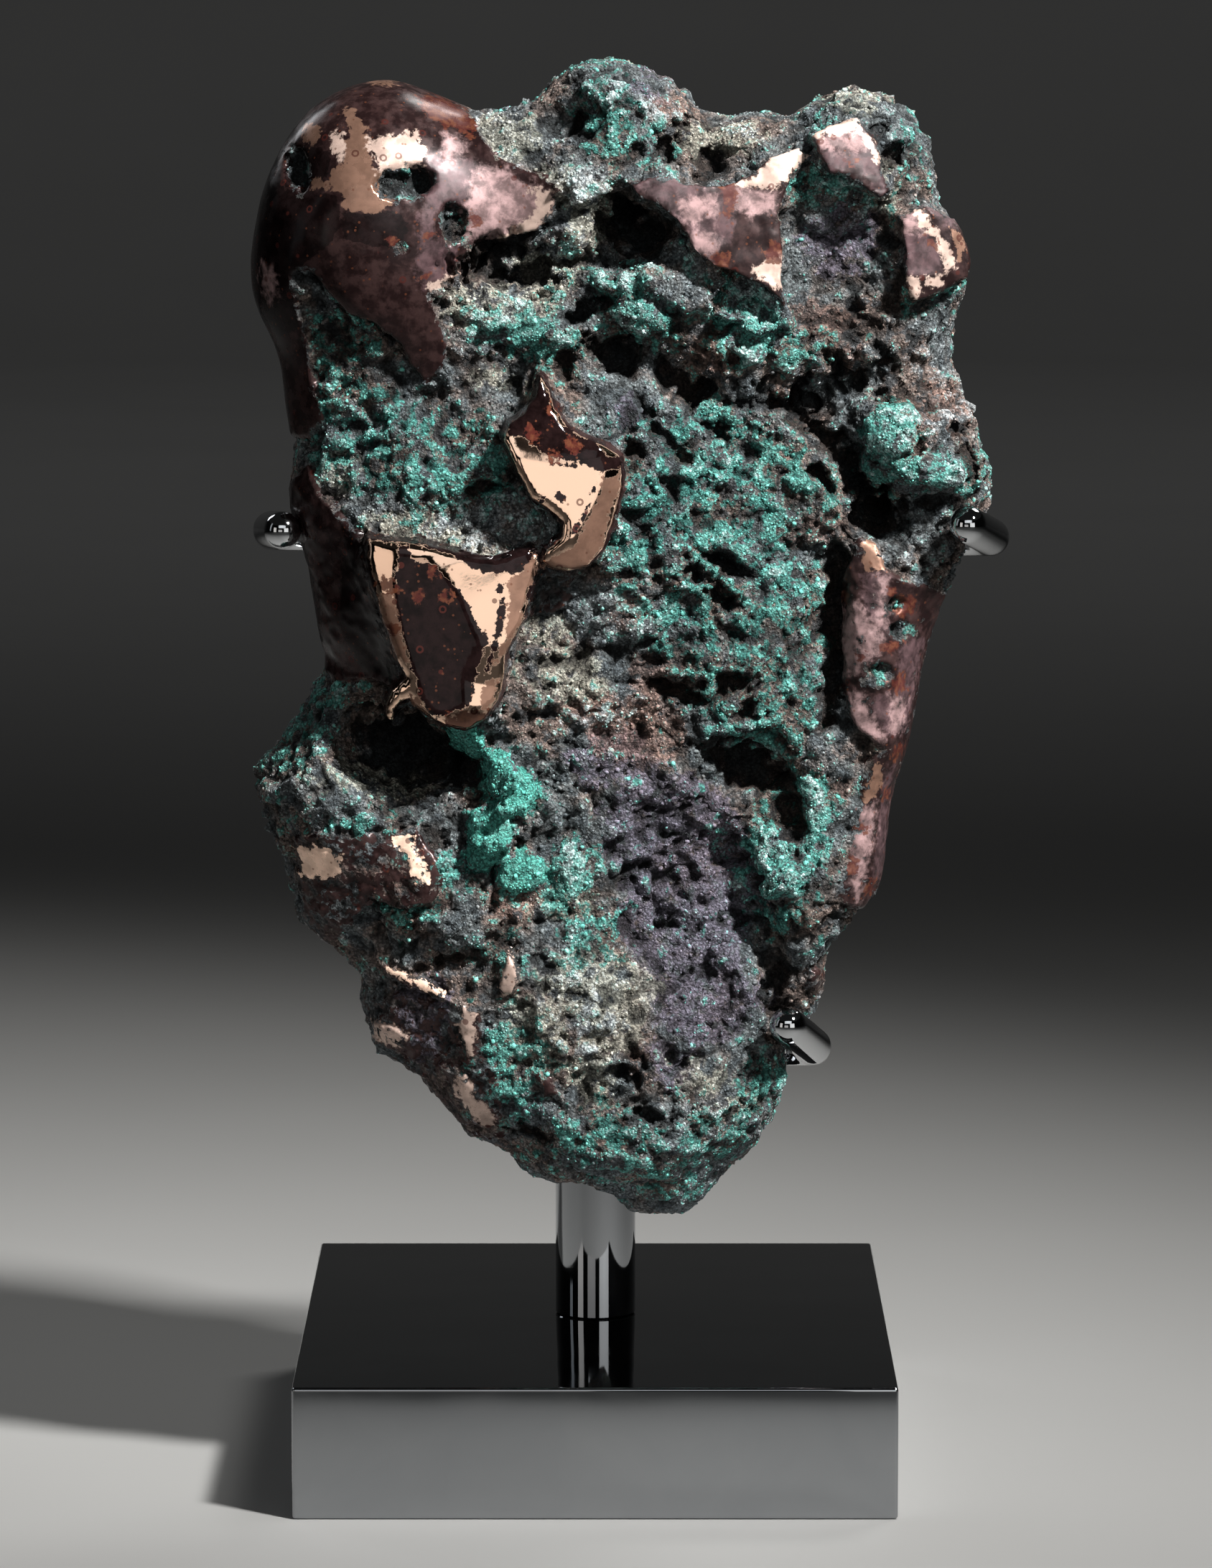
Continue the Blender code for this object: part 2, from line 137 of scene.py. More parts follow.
# Blocks at their own heights and tilts, with narrow clefts between them
def blockField(points, size, seed, squash=1.0):
    shift = np.array((seed * 5.13, seed * 2.71, seed * 8.37))
    places = points / size * np.array((1.0, 1.0, squash)) + shift
    found = [noise.voronoi(Vector(p)) for p in places]
    distance = np.array([near[0][:2] for near in found])
    middle = np.round([near[1][0] for near in found], 3)
    code = np.sin(middle @ np.array((12.9898, 78.233, 37.719)))[:, None] * np.array((437.5, 246.3, 137.5, 314.1))
    code -= np.floor(code)    # four numbers from 0 to 1 for each block
    tilt = ((code[:, 1:] - 0.5) * (places - middle)).sum(axis=1)
    cleft = smoothStep(0.0, 0.16, distance[:, 1] - distance[:, 0])
    return (code[:, 0] - 0.5) + 1.8 * tilt - 0.5 * (1.0 - cleft)


def newMaterial(name):
    material = bpy.data.materials.new(name)
    material.use_nodes = True
    tree = material.node_tree
    return material, tree, tree.nodes["Principled BSDF"]


def plug(tree, socket, value):
    if isinstance(value, bpy.types.NodeSocket):
        tree.links.new(value, socket)
    else:
        socket.default_value = value


def maths(tree, operation, a, b=0.0, clamp=False):
    node = tree.nodes.new("ShaderNodeMath")
    node.operation = operation
    node.use_clamp = clamp
    plug(tree, node.inputs[0], a)
    plug(tree, node.inputs[1], b)
    return node.outputs[0]


def spread(tree, value, low, high, toLow=0.0, toHigh=1.0):
    node = tree.nodes.new("ShaderNodeMapRange")
    node.interpolation_type = "SMOOTHSTEP"
    for socket, number in zip(("Value", "From Min", "From Max", "To Min", "To Max"),
                              (value, low, high, toLow, toHigh)):
        plug(tree, node.inputs[socket], number)
    return node.outputs["Result"]


def mixed(tree, share, a, b, blend="MIX"):
    node = tree.nodes.new("ShaderNodeMix")
    node.data_type = "RGBA"
    node.blend_type = blend
    plug(tree, node.inputs[0], share)
    plug(tree, node.inputs[6], a)
    plug(tree, node.inputs[7], b)
    return node.outputs[2]


def grain(tree, place, scale, detail=3.0, rough=0.6, warp=0.0):
    node = tree.nodes.new("ShaderNodeTexNoise")
    tree.links.new(place, node.inputs["Vector"])
    node.inputs["Scale"].default_value = scale
    node.inputs["Detail"].default_value = detail
    node.inputs["Roughness"].default_value = rough
    node.inputs["Distortion"].default_value = warp
    return node.outputs["Fac"]


def cells(tree, place, scale, feature="F1", output="Distance"):
    node = tree.nodes.new("ShaderNodeTexVoronoi")
    node.feature = feature
    tree.links.new(place, node.inputs["Vector"])
    node.inputs["Scale"].default_value = scale
    return node.outputs[output]


def attribute(tree, name):
    node = tree.nodes.new("ShaderNodeAttribute")
    node.attribute_name = name
    return node.outputs["Fac"]


def objectPlace(tree, stretch=(1, 1, 1), turn=(0, 0, 0)):
    coordinate = tree.nodes.new("ShaderNodeTexCoord")
    mapping = tree.nodes.new("ShaderNodeMapping")
    mapping.inputs["Scale"].default_value = stretch
    mapping.inputs["Rotation"].default_value = turn
    tree.links.new(coordinate.outputs["Object"], mapping.inputs["Vector"])
    return mapping.outputs["Vector"]


def bumped(tree, height, strength, distance):
    node = tree.nodes.new("ShaderNodeBump")
    node.inputs["Distance"].default_value = distance
    plug(tree, node.inputs["Strength"], strength)
    tree.links.new(height, node.inputs["Height"])
    return node.outputs["Normal"]


view = dict(
    place=(0.0037, -2.497, 0.556), pitch=7.386,
    focalPixels=10060.0, framePixels=2184.0, sensor=36.0,
    exposure=0.0, look="None", transform="Standard",
)

lights = {                    # place, aimed at, width, height, watts, colour, beam in degrees
    "key": ((1.35, -1.30, 2.15), (0.0, -0.08, 0.28), 0.26, 0.26, 8.2, (1.0, 0.985, 0.97), 32),
    "frontAbove": ((0.0, -2.3, 1.40), (0.0, -0.1, 0.3), 1.9, 0.75, 2.3, (0.96, 0.98, 1.0), 120),
    "frontRight": ((1.00, -2.2, 0.45), (0.0, -0.1, 0.3), 1.15, 1.1, 2.1, (1.0, 0.99, 0.97), 120),
    "frontLow": ((-0.55, -2.75, 0.15), (0.0, -0.1, 0.3), 1.1, 1.0, 0.9, (1.0, 0.96, 0.93), 120),
    "frontLeft": ((-1.7, -1.8, 0.5), (0.0, -0.1, 0.3), 0.7, 1.1, 0.9, (1.0, 0.95, 0.9), 120),
    "sideLeft": ((-2.0, -0.6, 0.9), (0.0, -0.1, 0.3), 0.35, 1.4, 0.25, (0.90, 0.95, 1.0), 120),
    "backLeft": ((-1.4, 1.6, 1.6), (0.0, -0.05, 0.3), 0.6, 1.0, 0.9, (0.95, 0.97, 1.0), 60),
    "backFill": ((1.1, 1.5, 2.3), (0.0, 0.05, 0.3), 1.0, 0.8, 3.0, (1.0, 0.99, 0.97), 50),
    "backdrop": ((0.0, 2.6, 3.4), (0.0, 6.2, 0.8), 4.0, 1.0, 26.0, (0.99, 0.99, 1.0), 160),
}

room = dict(radius=7.0, sweep=1.6, wall=4.5, steps=96, worldLight=0.012)


def makeCamera():
    print("camera")
    camera = bpy.data.cameras.new("camera")
    camera.sensor_width = view["sensor"]
    camera.sensor_fit = "AUTO"
    camera.lens = view["sensor"] * view["focalPixels"] / view["framePixels"]
    camera.clip_end = 100.0
    holder = newObject("camera", camera)
    holder.location = view["place"]
    holder.rotation_euler = (math.radians(90.0 - view["pitch"]), 0.0, 0.0)
    bpy.context.scene.camera = holder
    settings = bpy.context.scene.view_settings
    settings.view_transform = view["transform"]
    settings.look = view["look"]
    settings.exposure = view["exposure"]


def makeLights():
    print("lights")
    for name, (place, target, width, height, watts, colour, beam) in lights.items():
        softbox = bpy.data.lights.new(name, "AREA")
        softbox.shape = "RECTANGLE"
        softbox.size, softbox.size_y = width, height
        softbox.energy = watts
        softbox.color = colour
        softbox.spread = math.radians(beam)
        holder = newObject(name, softbox)
        holder.location = place
        holder.rotation_euler = (Vector(target) - Vector(place)).to_track_quat("-Z", "Y").to_euler()
    world = bpy.data.worlds.new("world")
    world.use_nodes = True
    strength = room["worldLight"]
    world.node_tree.nodes["Background"].inputs["Color"].default_value = (strength, strength, strength, 1)
    bpy.context.scene.world = world


# A pale floor that sweeps up into a round wall, all in one surface
def makeFloor():
    print("floor")
    material, tree, shader = newMaterial("paleFloor")
    place = objectPlace(tree)
    shade = mixed(tree, grain(tree, place, 3.0, 2.0), (0.175, 0.175, 0.17, 1), (0.195, 0.195, 0.19, 1))
    tree.links.new(shade, shader.inputs["Base Color"])
    shader.inputs["Roughness"].default_value = 0.75
    bm = bmesh.new()
    radius, sweep = room["radius"], room["sweep"]
    profile = [(0.0, 0.0)]
    for step in range(9):
        angle = math.radians(90.0) * step / 8
        profile.append((radius - sweep + sweep * math.sin(angle), sweep - sweep * math.cos(angle)))
    profile.append((radius, room["wall"]))
    corners = [bm.verts.new((across, 0.0, up)) for across, up in profile]
    edges = [bm.edges.new(pair) for pair in zip(corners, corners[1:])]
    bmesh.ops.spin(bm, geom=corners + edges, cent=(0, 0, 0), axis=(0, 0, 1),
                   angle=math.tau, steps=room["steps"], use_merge=True)
    bmesh.ops.remove_doubles(bm, verts=bm.verts, dist=0.0001)
    for face in bm.faces:
        if face.normal.z < 0 or (abs(face.normal.z) < 0.01 and face.normal.dot(face.calc_center_median()) > 0):
            face.normal_flip()
    meshObject("floor", bm, material)


# block tint: the stand's one steel painted darker on the base and post, a painted dark reflection
block = dict(edge=1.2, segments=5, tint=((0.29, 0.302, 0.316, 1), (0.36, 0.37, 0.38, 1)))
bar = dict(radius=14.0, bottom=45.3, top=345.0, chamfer=2.0, sides=96)
rods = dict(
    # tint: the same steel painted lighter on the rods, a painted bright reflection
    tint=((0.50, 0.515, 0.53, 1), (0.58, 0.59, 0.60, 1)),
    radius=6.35, bend=16.0, start=12.0, sides=40, bendStep=6.0, tipSteps=8,
    routes={                  # centre lines from the post's axis to the middle of each round tip
        "left_arm": ((0, 0, 320.5), (-112.5, 0, 320.5), (-109.6, -58, 326.8), (-105.1, -79, 328.6)),
        "right_arm": ((0, 0, 318.6), (137.2, 0, 318.6), (133.2, -74, 325.8), (124.5, -98, 332.1)),
        "lower_arm": ((0, 0, 139.3), (76.3, 0, 139.3), (74.2, -64, 150.4), (65.1, -94, 162.4)),
    },
)


# Mirror-polished stainless steel with faint wiping marks
def steelMaterial(name, dark, light):
    material, tree, shader = newMaterial(name)
    place = objectPlace(tree)
    smudge = grain(tree, place, 28.0, 4.0, 0.62, 0.6)
    wipe = grain(tree, objectPlace(tree, (1, 1, 14), (0.2, 0.5, 0.1)), 60.0, 3.0)
    tint = mixed(tree, smudge, dark, light)
    tree.links.new(tint, shader.inputs["Base Color"])
    shader.inputs["Metallic"].default_value = 1.0
    rough = maths(tree, "MULTIPLY", spread(tree, smudge, 0.42, 0.75), 0.07)
    rough = maths(tree, "ADD", rough, maths(tree, "MULTIPLY", wipe, 0.05))
    tree.links.new(rough, shader.inputs["Roughness"])
    wave = grain(tree, place, 16.0, 1.0)
    tree.links.new(bumped(tree, wave, 0.25, 0.0012), shader.inputs["Normal"])
    return material


def makeBase(steel):
    low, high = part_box("base_block")
    bm = bmesh.new()
    bmesh.ops.create_cube(bm, size=1.0)
    bmesh.ops.scale(bm, vec=high - low, verts=bm.verts)
    bmesh.ops.translate(bm, vec=(low + high) / 2, verts=bm.verts)
    bmesh.ops.bevel(bm, geom=bm.edges[:], offset=block["edge"] * mm, offset_type="OFFSET", affect="EDGES",
                    segments=block["segments"], profile=0.5, material=-1)
    base = meshObject("baseBlock", bm, steel)
    base.data.set_sharp_from_angle(angle=math.radians(50))
    standFor(base, "polished_steel", "base_block")


def makePost(steel):
    bm = bmesh.new()
    radius, chamfer = bar["radius"], bar["chamfer"]
    profile = [(0.0, bar["bottom"]), (radius - 0.4, bar["bottom"]), (radius, bar["bottom"] + 0.4),
               (radius, bar["top"] - chamfer), (radius - chamfer, bar["top"]), (0.0, bar["top"])]
    corners = [bm.verts.new((across * mm, 0.0, up * mm)) for across, up in profile]
    edges = [bm.edges.new(pair) for pair in zip(corners, corners[1:])]
    bmesh.ops.spin(bm, geom=corners + edges, cent=(0, 0, 0), axis=(0, 0, 1),
                   angle=math.tau, steps=bar["sides"], use_merge=True)
    bmesh.ops.remove_doubles(bm, verts=bm.verts, dist=0.000001)
    bmesh.ops.recalc_face_normals(bm, faces=bm.faces)
    post = meshObject("postBar", bm, steel)
    post.data.set_sharp_from_angle(angle=math.radians(30))
    standFor(post, "polished_steel", "post")


# Places along a rod's centre line, with its heading and the ring's share of full radius
def rodRings(corners):
    corners = [Vector(corner) for corner in corners]
    corners[0] = corners[0] + (corners[1] - corners[0]).normalized() * rods["start"]
    places = [corners[0]]
    for before, corner, after in zip(corners, corners[1:], corners[2:]):
        toBefore, toAfter = (before - corner).normalized(), (after - corner).normalized()
        turn = math.pi - toBefore.angle(toAfter)
        setback = rods["bend"] * math.tan(turn / 2)
        setback = min(setback, 0.9 * min((before - corner).length / 2, (after - corner).length))
        radius = setback / math.tan(turn / 2)
        centre = corner + (toBefore + toAfter).normalized() * math.hypot(setback, radius)
        start = corner + toBefore * setback - centre
        steps = max(2, round(math.degrees(turn) / rods["bendStep"]))
        axis = toAfter.cross(toBefore)
        places += [centre + Matrix.Rotation(turn * step / steps, 3, axis) @ start for step in range(steps + 1)]
    places.append(corners[-1])
    headings = [(after - before).normalized() for before, after in zip(places, places[1:])]
    headings.append(headings[-1])
    shares = [1.0] * len(places)
    for step in range(1, rods["tipSteps"]):
        angle = math.radians(90.0) * step / rods["tipSteps"]
        places.append(corners[-1] + headings[-1] * rods["radius"] * math.sin(angle))
        headings.append(headings[-1])
        shares.append(math.cos(angle))
    return places, headings, shares


# One bent rod: a circle extruded from ring to ring and closed with a round tip
def makeRod(name, corners, steel):
    places, headings, shares = rodRings(corners)
    bm = bmesh.new()
    ring = bmesh.ops.create_circle(bm, cap_ends=False, segments=rods["sides"], radius=1.0)["verts"]
    flat = [vert.co.copy() for vert in ring]
    facing = headings[0].to_track_quat("Z", "Y")
    bm.faces.new(ring)
    for index, (place, heading, share) in enumerate(zip(places, headings, shares)):
        if index:
            mean = (headings[index - 1] + heading).normalized()
            facing = (facing @ Vector((0, 0, 1))).rotation_difference(mean) @ facing
            edges = [bm.edges.get((a, b)) for a, b in zip(ring, ring[1:] + ring[:1])]
            copied = bmesh.ops.extrude_edge_only(bm, edges=edges)["geom"]
            fresh = {item for item in copied if isinstance(item, bmesh.types.BMVert)}
            ring = [next(e.other_vert(v) for e in v.link_edges if e.other_vert(v) in fresh) for v in ring]
        for vert, corner in zip(ring, flat):
            vert.co = (place + facing @ (corner * rods["radius"] * share)) * mm
    middle = bm.verts.new((Vector(corners[-1]) + headings[-1] * rods["radius"]) * mm)
    for a, b in zip(ring, ring[1:] + ring[:1]):
        bm.faces.new((a, b, middle))
    bmesh.ops.recalc_face_normals(bm, faces=bm.faces)
    piece = meshObject(name.replace("_arm", "Arm"), bm, steel)
    piece.data.set_sharp_from_angle(angle=math.radians(60))
    standFor(piece, "polished_steel", name)


def makeStand():
    print("steel stand")
    # The base and post get a darker tint and the rods a lighter one of the same steel: painted dark and bright
    # reflections
    steel = steelMaterial("polishedSteel", *block["tint"])
    makeBase(steel)
    makePost(steel)
    rodSteel = steelMaterial("rodSteel", *rods["tint"])
    for name, corners in rods["routes"].items():
        makeRod(name, corners, rodSteel)


nugget = dict(
    voxel=3.3, smoothing=5, middle=-62.0,
    frontFacing=-0.18,        # faces turned at least this far to the front get a finer mesh
    borderBand=2.4,           # and again within this distance of the edge of bare copper
    collar=2.0,               # dark satin copper around each mirror face
    ledge=1.3,
    inward=1.7,               # takes back what the relief and grains add to the outline
)

# Bare copper seen from the front. Each face is a tilted plane, y = level + slopeX * dx + slopeZ * dz
# about its middle, and falls away outside its inner field.
mirrorFaces = {
    "shield": dict(
        outline=[(-75.5, 328.5), (-68.5, 327.5), (-60.5, 327.5), (-51, 325.5), (-41.5, 322.5), (-33, 321.5),
                 (-27, 323.5), (-22, 325), (-18.5, 321), (-20, 315), (-22, 309), (-23.5, 302.5), (-27.5, 295.5),
                 (-30, 290.5), (-30.5, 282.5), (-32.5, 275), (-37.5, 268.5), (-42.5, 265.5), (-48, 266.5),
                 (-54, 269), (-58, 273), (-61, 276), (-64.5, 274.5), (-67, 271.5), (-67.5, 267), (-69.5, 269),
                 (-69.5, 273), (-66.5, 278.5), (-62.5, 282.5), (-65.5, 288), (-68.5, 297), (-71, 305),
                 (-73.5, 312.5), (-75, 320.5)],
        inner=[(-65, 323), (-56.5, 322.5), (-51.5, 317), (-45, 307), (-41.5, 298), (-39.5, 294), (-43, 287), (-45, 282.5), (-44.5, 274), (-47.5, 271.5), (-52, 271), (-55, 273), (-59, 285), (-62.5, 295.5), (-65, 307.5), (-66, 317)],
        middle=(-50, 298), level=-115.2, slopeX=-0.10, slopeZ=0.03, fall=0.30,
        polish="mirror"),
    "flame": dict(
        outline=[(-18, 382), (-15, 377), (-13.5, 371.5), (-9, 365), (-3, 362), (3, 359.5), (8, 356), (9, 350),
                 (7.5, 341), (5, 332.5), (2.5, 325.5), (-2, 320.5), (-8, 318), (-13.5, 319), (-17, 321.5),
                 (-16, 325), (-10.5, 329.5), (-10, 334.5), (-15, 339), (-21, 343), (-24, 348.5), (-27, 355.5),
                 (-30, 362), (-28, 367), (-23, 370.5), (-19.5, 375.5)],
        inner=[(-24.5, 355.5), (-16, 354), (-6, 354), (0.5, 355.5), (2.5, 350.5), (-1, 341), (-5, 334),
               (-8, 329), (-10.5, 330.5), (-11.5, 336.5), (-17.5, 341), (-22, 344.5), (-25.5, 350)],
        middle=(-8, 346), level=-115.0, slopeX=0.17, slopeZ=0.05, fall=0.33,
        polish="mirror"),
    "brow": dict(
        outline=[(10.5, 446), (18, 448.5), (31, 446.5), (43, 446), (51.5, 449.5), (57.5, 455.5), (67.5, 458.5),
                 (70, 456), (67, 451), (63.5, 442.5), (61, 435.5), (62.5, 428.5), (63, 421.5), (62.5, 413),
                 (63, 405.5), (59.5, 408.5), (54, 412.5), (46, 416), (39, 418), (32.5, 423), (30, 428.5),
                 (27, 433), (21.5, 437.5), (14.5, 440.5)],
        inner=[(25, 438), (40, 436), (54, 438), (61, 445), (58, 425), (54, 416), (45, 420), (35, 428)],
        middle=(48, 432), level=-105.5, slopeX=0.12, slopeZ=0.16, fall=0.16,
        polish="satin"),
    "crown": dict(
        outline=[(71.5, 462.5), (76.5, 465.5), (86.5, 468), (91.5, 463.5), (94.5, 458), (95.5, 450), (98, 443),
                 (94.5, 440.5), (88.5, 444.5), (83, 448), (77, 449), (74, 455)],
        inner=[(76, 460), (86, 462), (91, 454), (90, 449), (80, 452)],
        middle=(85, 456), level=-102.0, slopeX=0.20, slopeZ=0.42, fall=0.2,
        polish="satin"),
    "cheek": dict(
        outline=[(101, 434.5), (105, 437), (110.5, 438.5), (118, 435), (125.5, 428), (127.5, 422), (124.5, 413.5),
                 (117, 410.5), (111.5, 407.5), (106, 406), (102.5, 411.5), (102.5, 422.5)],
        inner=[(104, 432), (112, 434), (118, 428), (117, 418), (108, 411), (105, 418)],
        middle=(111, 422), level=-98.0, slopeX=0.30, slopeZ=0.10, fall=0.3,
        polish="satin"),
}

# Bare copper that follows the nugget's own lumps
bareOutlines = {
    "lobe": [(-116.5, 418.5), (-119, 435), (-112, 458), (-100, 476), (-84, 486), (-66, 486), (-51.5, 477),
             (-42, 468.5), (-37, 461), (-32.5, 454.5), (-24, 450), (-17.5, 448.5), (-12, 444.5), (-13.5, 437),
             (-19, 430), (-30.5, 426.5), (-41.5, 425.5), (-43.5, 416.5), (-51.5, 412.5), (-55.5, 409),
             (-51.5, 399.5), (-49, 392), (-51.5, 383), (-56.5, 379.5), (-61.5, 385), (-65, 392.5),
             (-73.5, 399.5), (-82.5, 402.5), (-91, 412.5), (-95.5, 418), (-101, 415.5), (-99, 404.5),
             (-96, 392.5), (-94, 378), (-90.5, 367.5), (-96.5, 360), (-108, 360), (-112, 387.5), (-122, 400)],
    "flank": [(-96.5, 353.5), (-92, 341.5), (-81, 330.5), (-76, 325.5), (-74, 310), (-69, 294.5), (-66, 285.5),
              (-63, 280), (-68.5, 277), (-78, 279), (-88, 278), (-98, 284), (-101, 307.5), (-104, 322), (-106, 339)],
    "besideShield": [(-26, 320), (-16.5, 322), (-8, 319), (-8, 307.5), (-12.5, 303), (-20.5, 301.5), (-27, 300)],
    "blade": [(88.5, 327.5), (94, 326), (97, 318), (104, 313), (114, 310.5), (118.5, 307), (114, 293.5),
              (110, 277), (107.5, 256.5), (102.5, 243.5), (101, 226.5), (97.5, 209.5), (90.5, 200.5), (83.5, 204),
              (85, 215.5), (88.5, 231), (92, 250.5), (97, 256), (86.5, 264.5), (83, 277), (82, 296.5), (82, 314.5)],
    "nubLeft": [(-101.5, 222.5), (-97.5, 223.5), (-90, 223), (-85.5, 221), (-84.5, 215), (-90, 213),
                (-97.5, 211.5), (-99.5, 213), (-98, 217.5), (-100.5, 219.5)],
    "nubMiddle": [(-67.5, 227), (-62, 229), (-60.5, 224.5), (-57, 218.5), (-55.5, 212.5), (-61, 212),
                  (-66.5, 213), (-62.5, 217), (-63.5, 221.5), (-66.5, 223.5)],
    "lip": [(-72.5, 182.5), (-64.5, 181), (-55, 177), (-49.5, 171.5), (-55, 172.5), (-61, 175.5), (-68, 178)],
    "leaf": [(-29.5, 189), (-27, 184.5), (-25.5, 179.5), (-28, 174), (-31, 173.5), (-33, 176.5), (-31, 181),
             (-30, 184.5)],
    "upperStrip": [(-44.5, 168.5), (-38.5, 167.5), (-38.5, 160), (-40, 152.5), (-43, 151.5), (-45, 157.5),
                   (-46, 163.5)],
    "lowerStrip": [(-48.5, 147), (-43.5, 145), (-38.5, 137.5), (-33.5, 134), (-32, 128), (-36, 125),
                   (-41, 127.5), (-43.5, 134), (-47.5, 136), (-49.5, 141.5)],
    "shin": [(-76, 162.5), (-69, 161.5), (-62.5, 157.5), (-58.5, 151), (-61.5, 148.5), (-68, 152.5), (-75, 155.5)],
    "edge": [(-99, 203.5), (-93, 198), (-89, 191.5), (-87.5, 186.5), (-93.5, 189), (-98.5, 194.5)],
    "chip": [(-20.5, 146.5), (-15, 144.5), (-12.5, 140), (-17, 139)],
    "shoulder": [(-101, 226), (-92, 228), (-82, 227), (-72, 228), (-60, 230), (-54, 222), (-51, 212), (-55, 205),
                 (-66, 203), (-76, 206), (-82, 198), (-88, 190), (-96, 196), (-101, 208)],
    "heel": [(-82, 169), (-65, 172.5), (-45.5, 165.5), (-33.5, 144.5), (-31, 122.5), (-43.5, 121), (-55.5, 134.5), (-70, 149.5)],
    "speck": [(74, 179), (78.5, 179.5), (79.5, 173.5), (76, 171), (73, 174)],
}

# Outlines where the bare copper shows through a broken crust: most millimetres inside
brokenOutlines = dict(shoulder=0.45, heel=-0.1, blade=1.7, besideShield=0.3, edge=0.4, speck=0.3, shin=0.6)

# Sunken spots on the front with steep walls: x, z, reach across, reach up, turn
pits = [
    (-2.5, 404.5, 5.7, 4.8, 20), (4.9, 390.7, 8.1, 5.2, -20), (-28.5, 378.5, 5.7, 2.9, 15),
    (-26.8, 401.9, 3.3, 2.4, 0), (12.3, 457.7, 3.8, 2.9, -20), (22.9, 457.7, 4.8, 5.2, 0),
    (31.2, 467.2, 2.9, 3.3, 0), (37.7, 454.7, 3.8, 6.2, -15), (81.4, 384.8, 3.3, 5.2, 30),
    (87.4, 379.3, 8.6, 3.3, -5), (70, 374, 5.7, 4.8, 0), (26.6, 380.9, 8.1, 3.3, -40),
    (35, 376.9, 4.8, 3.8, -40), (45.7, 388.8, 5.2, 3.8, -50), (85.7, 403.8, 2.4, 5.2, 30),
    (94.9, 463.2, 3.3, 5.2, -20), (99, 455.4, 5.2, 4.3, 20), (125, 354.2, 3.3, 10.5, 10),
    (14.7, 357.7, 3.8, 5.7, 20), (75.6, 348.9, 5.2, 3.3, -20), (86.4, 349.4, 3.8, 9, 35),
    (92.4, 337.4, 5.7, 4.8, 0), (107.9, 338.1, 10.5, 2.9, 5), (32.7, 318.2, 3.3, 5.2, 20),
    (43.9, 320.6, 5.7, 4.3, -30), (43, 308.1, 7.1, 3.3, -30), (28.6, 276, 8.1, 5.2, -20),
    (45.9, 278.4, 4.3, 4.8, 30), (50.7, 268.8, 7.1, 3.8, -20), (12.4, 215.4, 5.2, 3.3, 0),
    (-10.4, 386.4, 3.3, 7.1, 10), (-19.9, 416.2, 9.5, 3.8, 10), (-30.6, 424.5, 10.5, 4.8, 0),
    (5.1, 416.7, 8.1, 3.3, 0), (-35.5, 344.6, 6.2, 2.9, 20), (52.8, 404.3, 6.2, 2.9, -30),
    (13.6, 145.9, 4.3, 8.1, 10), (18.4, 132.9, 8.1, 2.9, -10),
    (-21.4, 125.1, 7.1, 2.9, -10), (-52.2, 184, 8.1, 2.1, 10), 
    (-42.5, 418.1, 7.1, 5.2, 20), (-30.6, 413.8, 4.8, 3.3, 0), (61.8, 171.6, 4.8, 8.1, 10),
    (40.9, 363.7, 6.2, 2.9, -30), (55.2, 376.9, 4.8, 2.9, -30), (96.9, 387.6, 5.7, 2.9, -40),
]
crustedPits = [(-63, 446, 9.5, 5.5, 5), (-46.5, 432, 4.5, 7, 10), (-99, 450, 4, 7, 10), (-36, 419, 9, 5, 10)]
flecks = [                    # small patches of crust left on the bare copper
    (102.5, 296.5, 4, 3, 0), (101, 305, 3, 2.5, 30), (95, 282, 4.5, 3.5, 20),
    (-90, 354.5, 2.5, 1.8, 0), (-54.5, 340, 3, 2, 30), (-63.5, 425, 2.2, 1.6, 0),
]
caves = [                     # the deep black ones
    (-62, 255, 18, 9, -14), (-44, 248, 7, 5.5, -25), (52, 248.7, 14.8, 8.1, -28),
    (64.8, 233.6, 6.2, 15.2, 10), (10.6, 432.4, 7.5, 9, -15), (18.2, 424.5, 5.0, 6.5, -30), (-6.5, 464, 3.4, 4.6, 0),
]
blobs = [                     # smooth lumps of green crust: x, z, reach, reach, turn, height
    (-33, 249, 7.5, 7.5, 0, 4.5), (-26, 243, 8, 8, 0, 5), (-35, 231, 8.5, 8.5, 0, 4.5), (-36, 223, 7.5, 6, 0, 4),
    (-24, 215, 8, 6.5, 0, 4), (-44, 258, 7, 7, 0, 3.5),
]
knobs = blobs + [             # rounded swellings of the rough crust
    (6, 414, 9, 6, -20, 3.5), (14, 402, 11, 7, -20, 3.5), (-8, 215, 6, 12, 0, 2), (98, 364, 12, 9, 20, 3),
    (112, 350, 14, 7, 0, 3), (68, 236, 10, 10, 0, 2.5), (63, 219, 11, 12, 0, 2.5), (-22, 396, 15, 7, -10, 3),
    (-4, 445, 9, 8, 0, 3), (-30, 404, 14, 6, 10, 2.5), (24, 470, 8, 7, 0, 2.5), (47, 462, 8, 5, 10, 2.5),
    (-12, 425, 9, 6, 20, 3), (50, 392, 10, 7, 20, 3), (-28, 333, 16, 10, -20, 3.4), (-36, 326, 9, 5, 0, 3),
    (6, 300, 18, 9, 0, 1.5), (-2, 272, 20, 8, 0, 1.5), (28, 415, 17, 10, -35, 5.5), (52, 405, 13, 7, -20, 5.5),
    (80, 438, 12, 10, 0, 3.5),
]

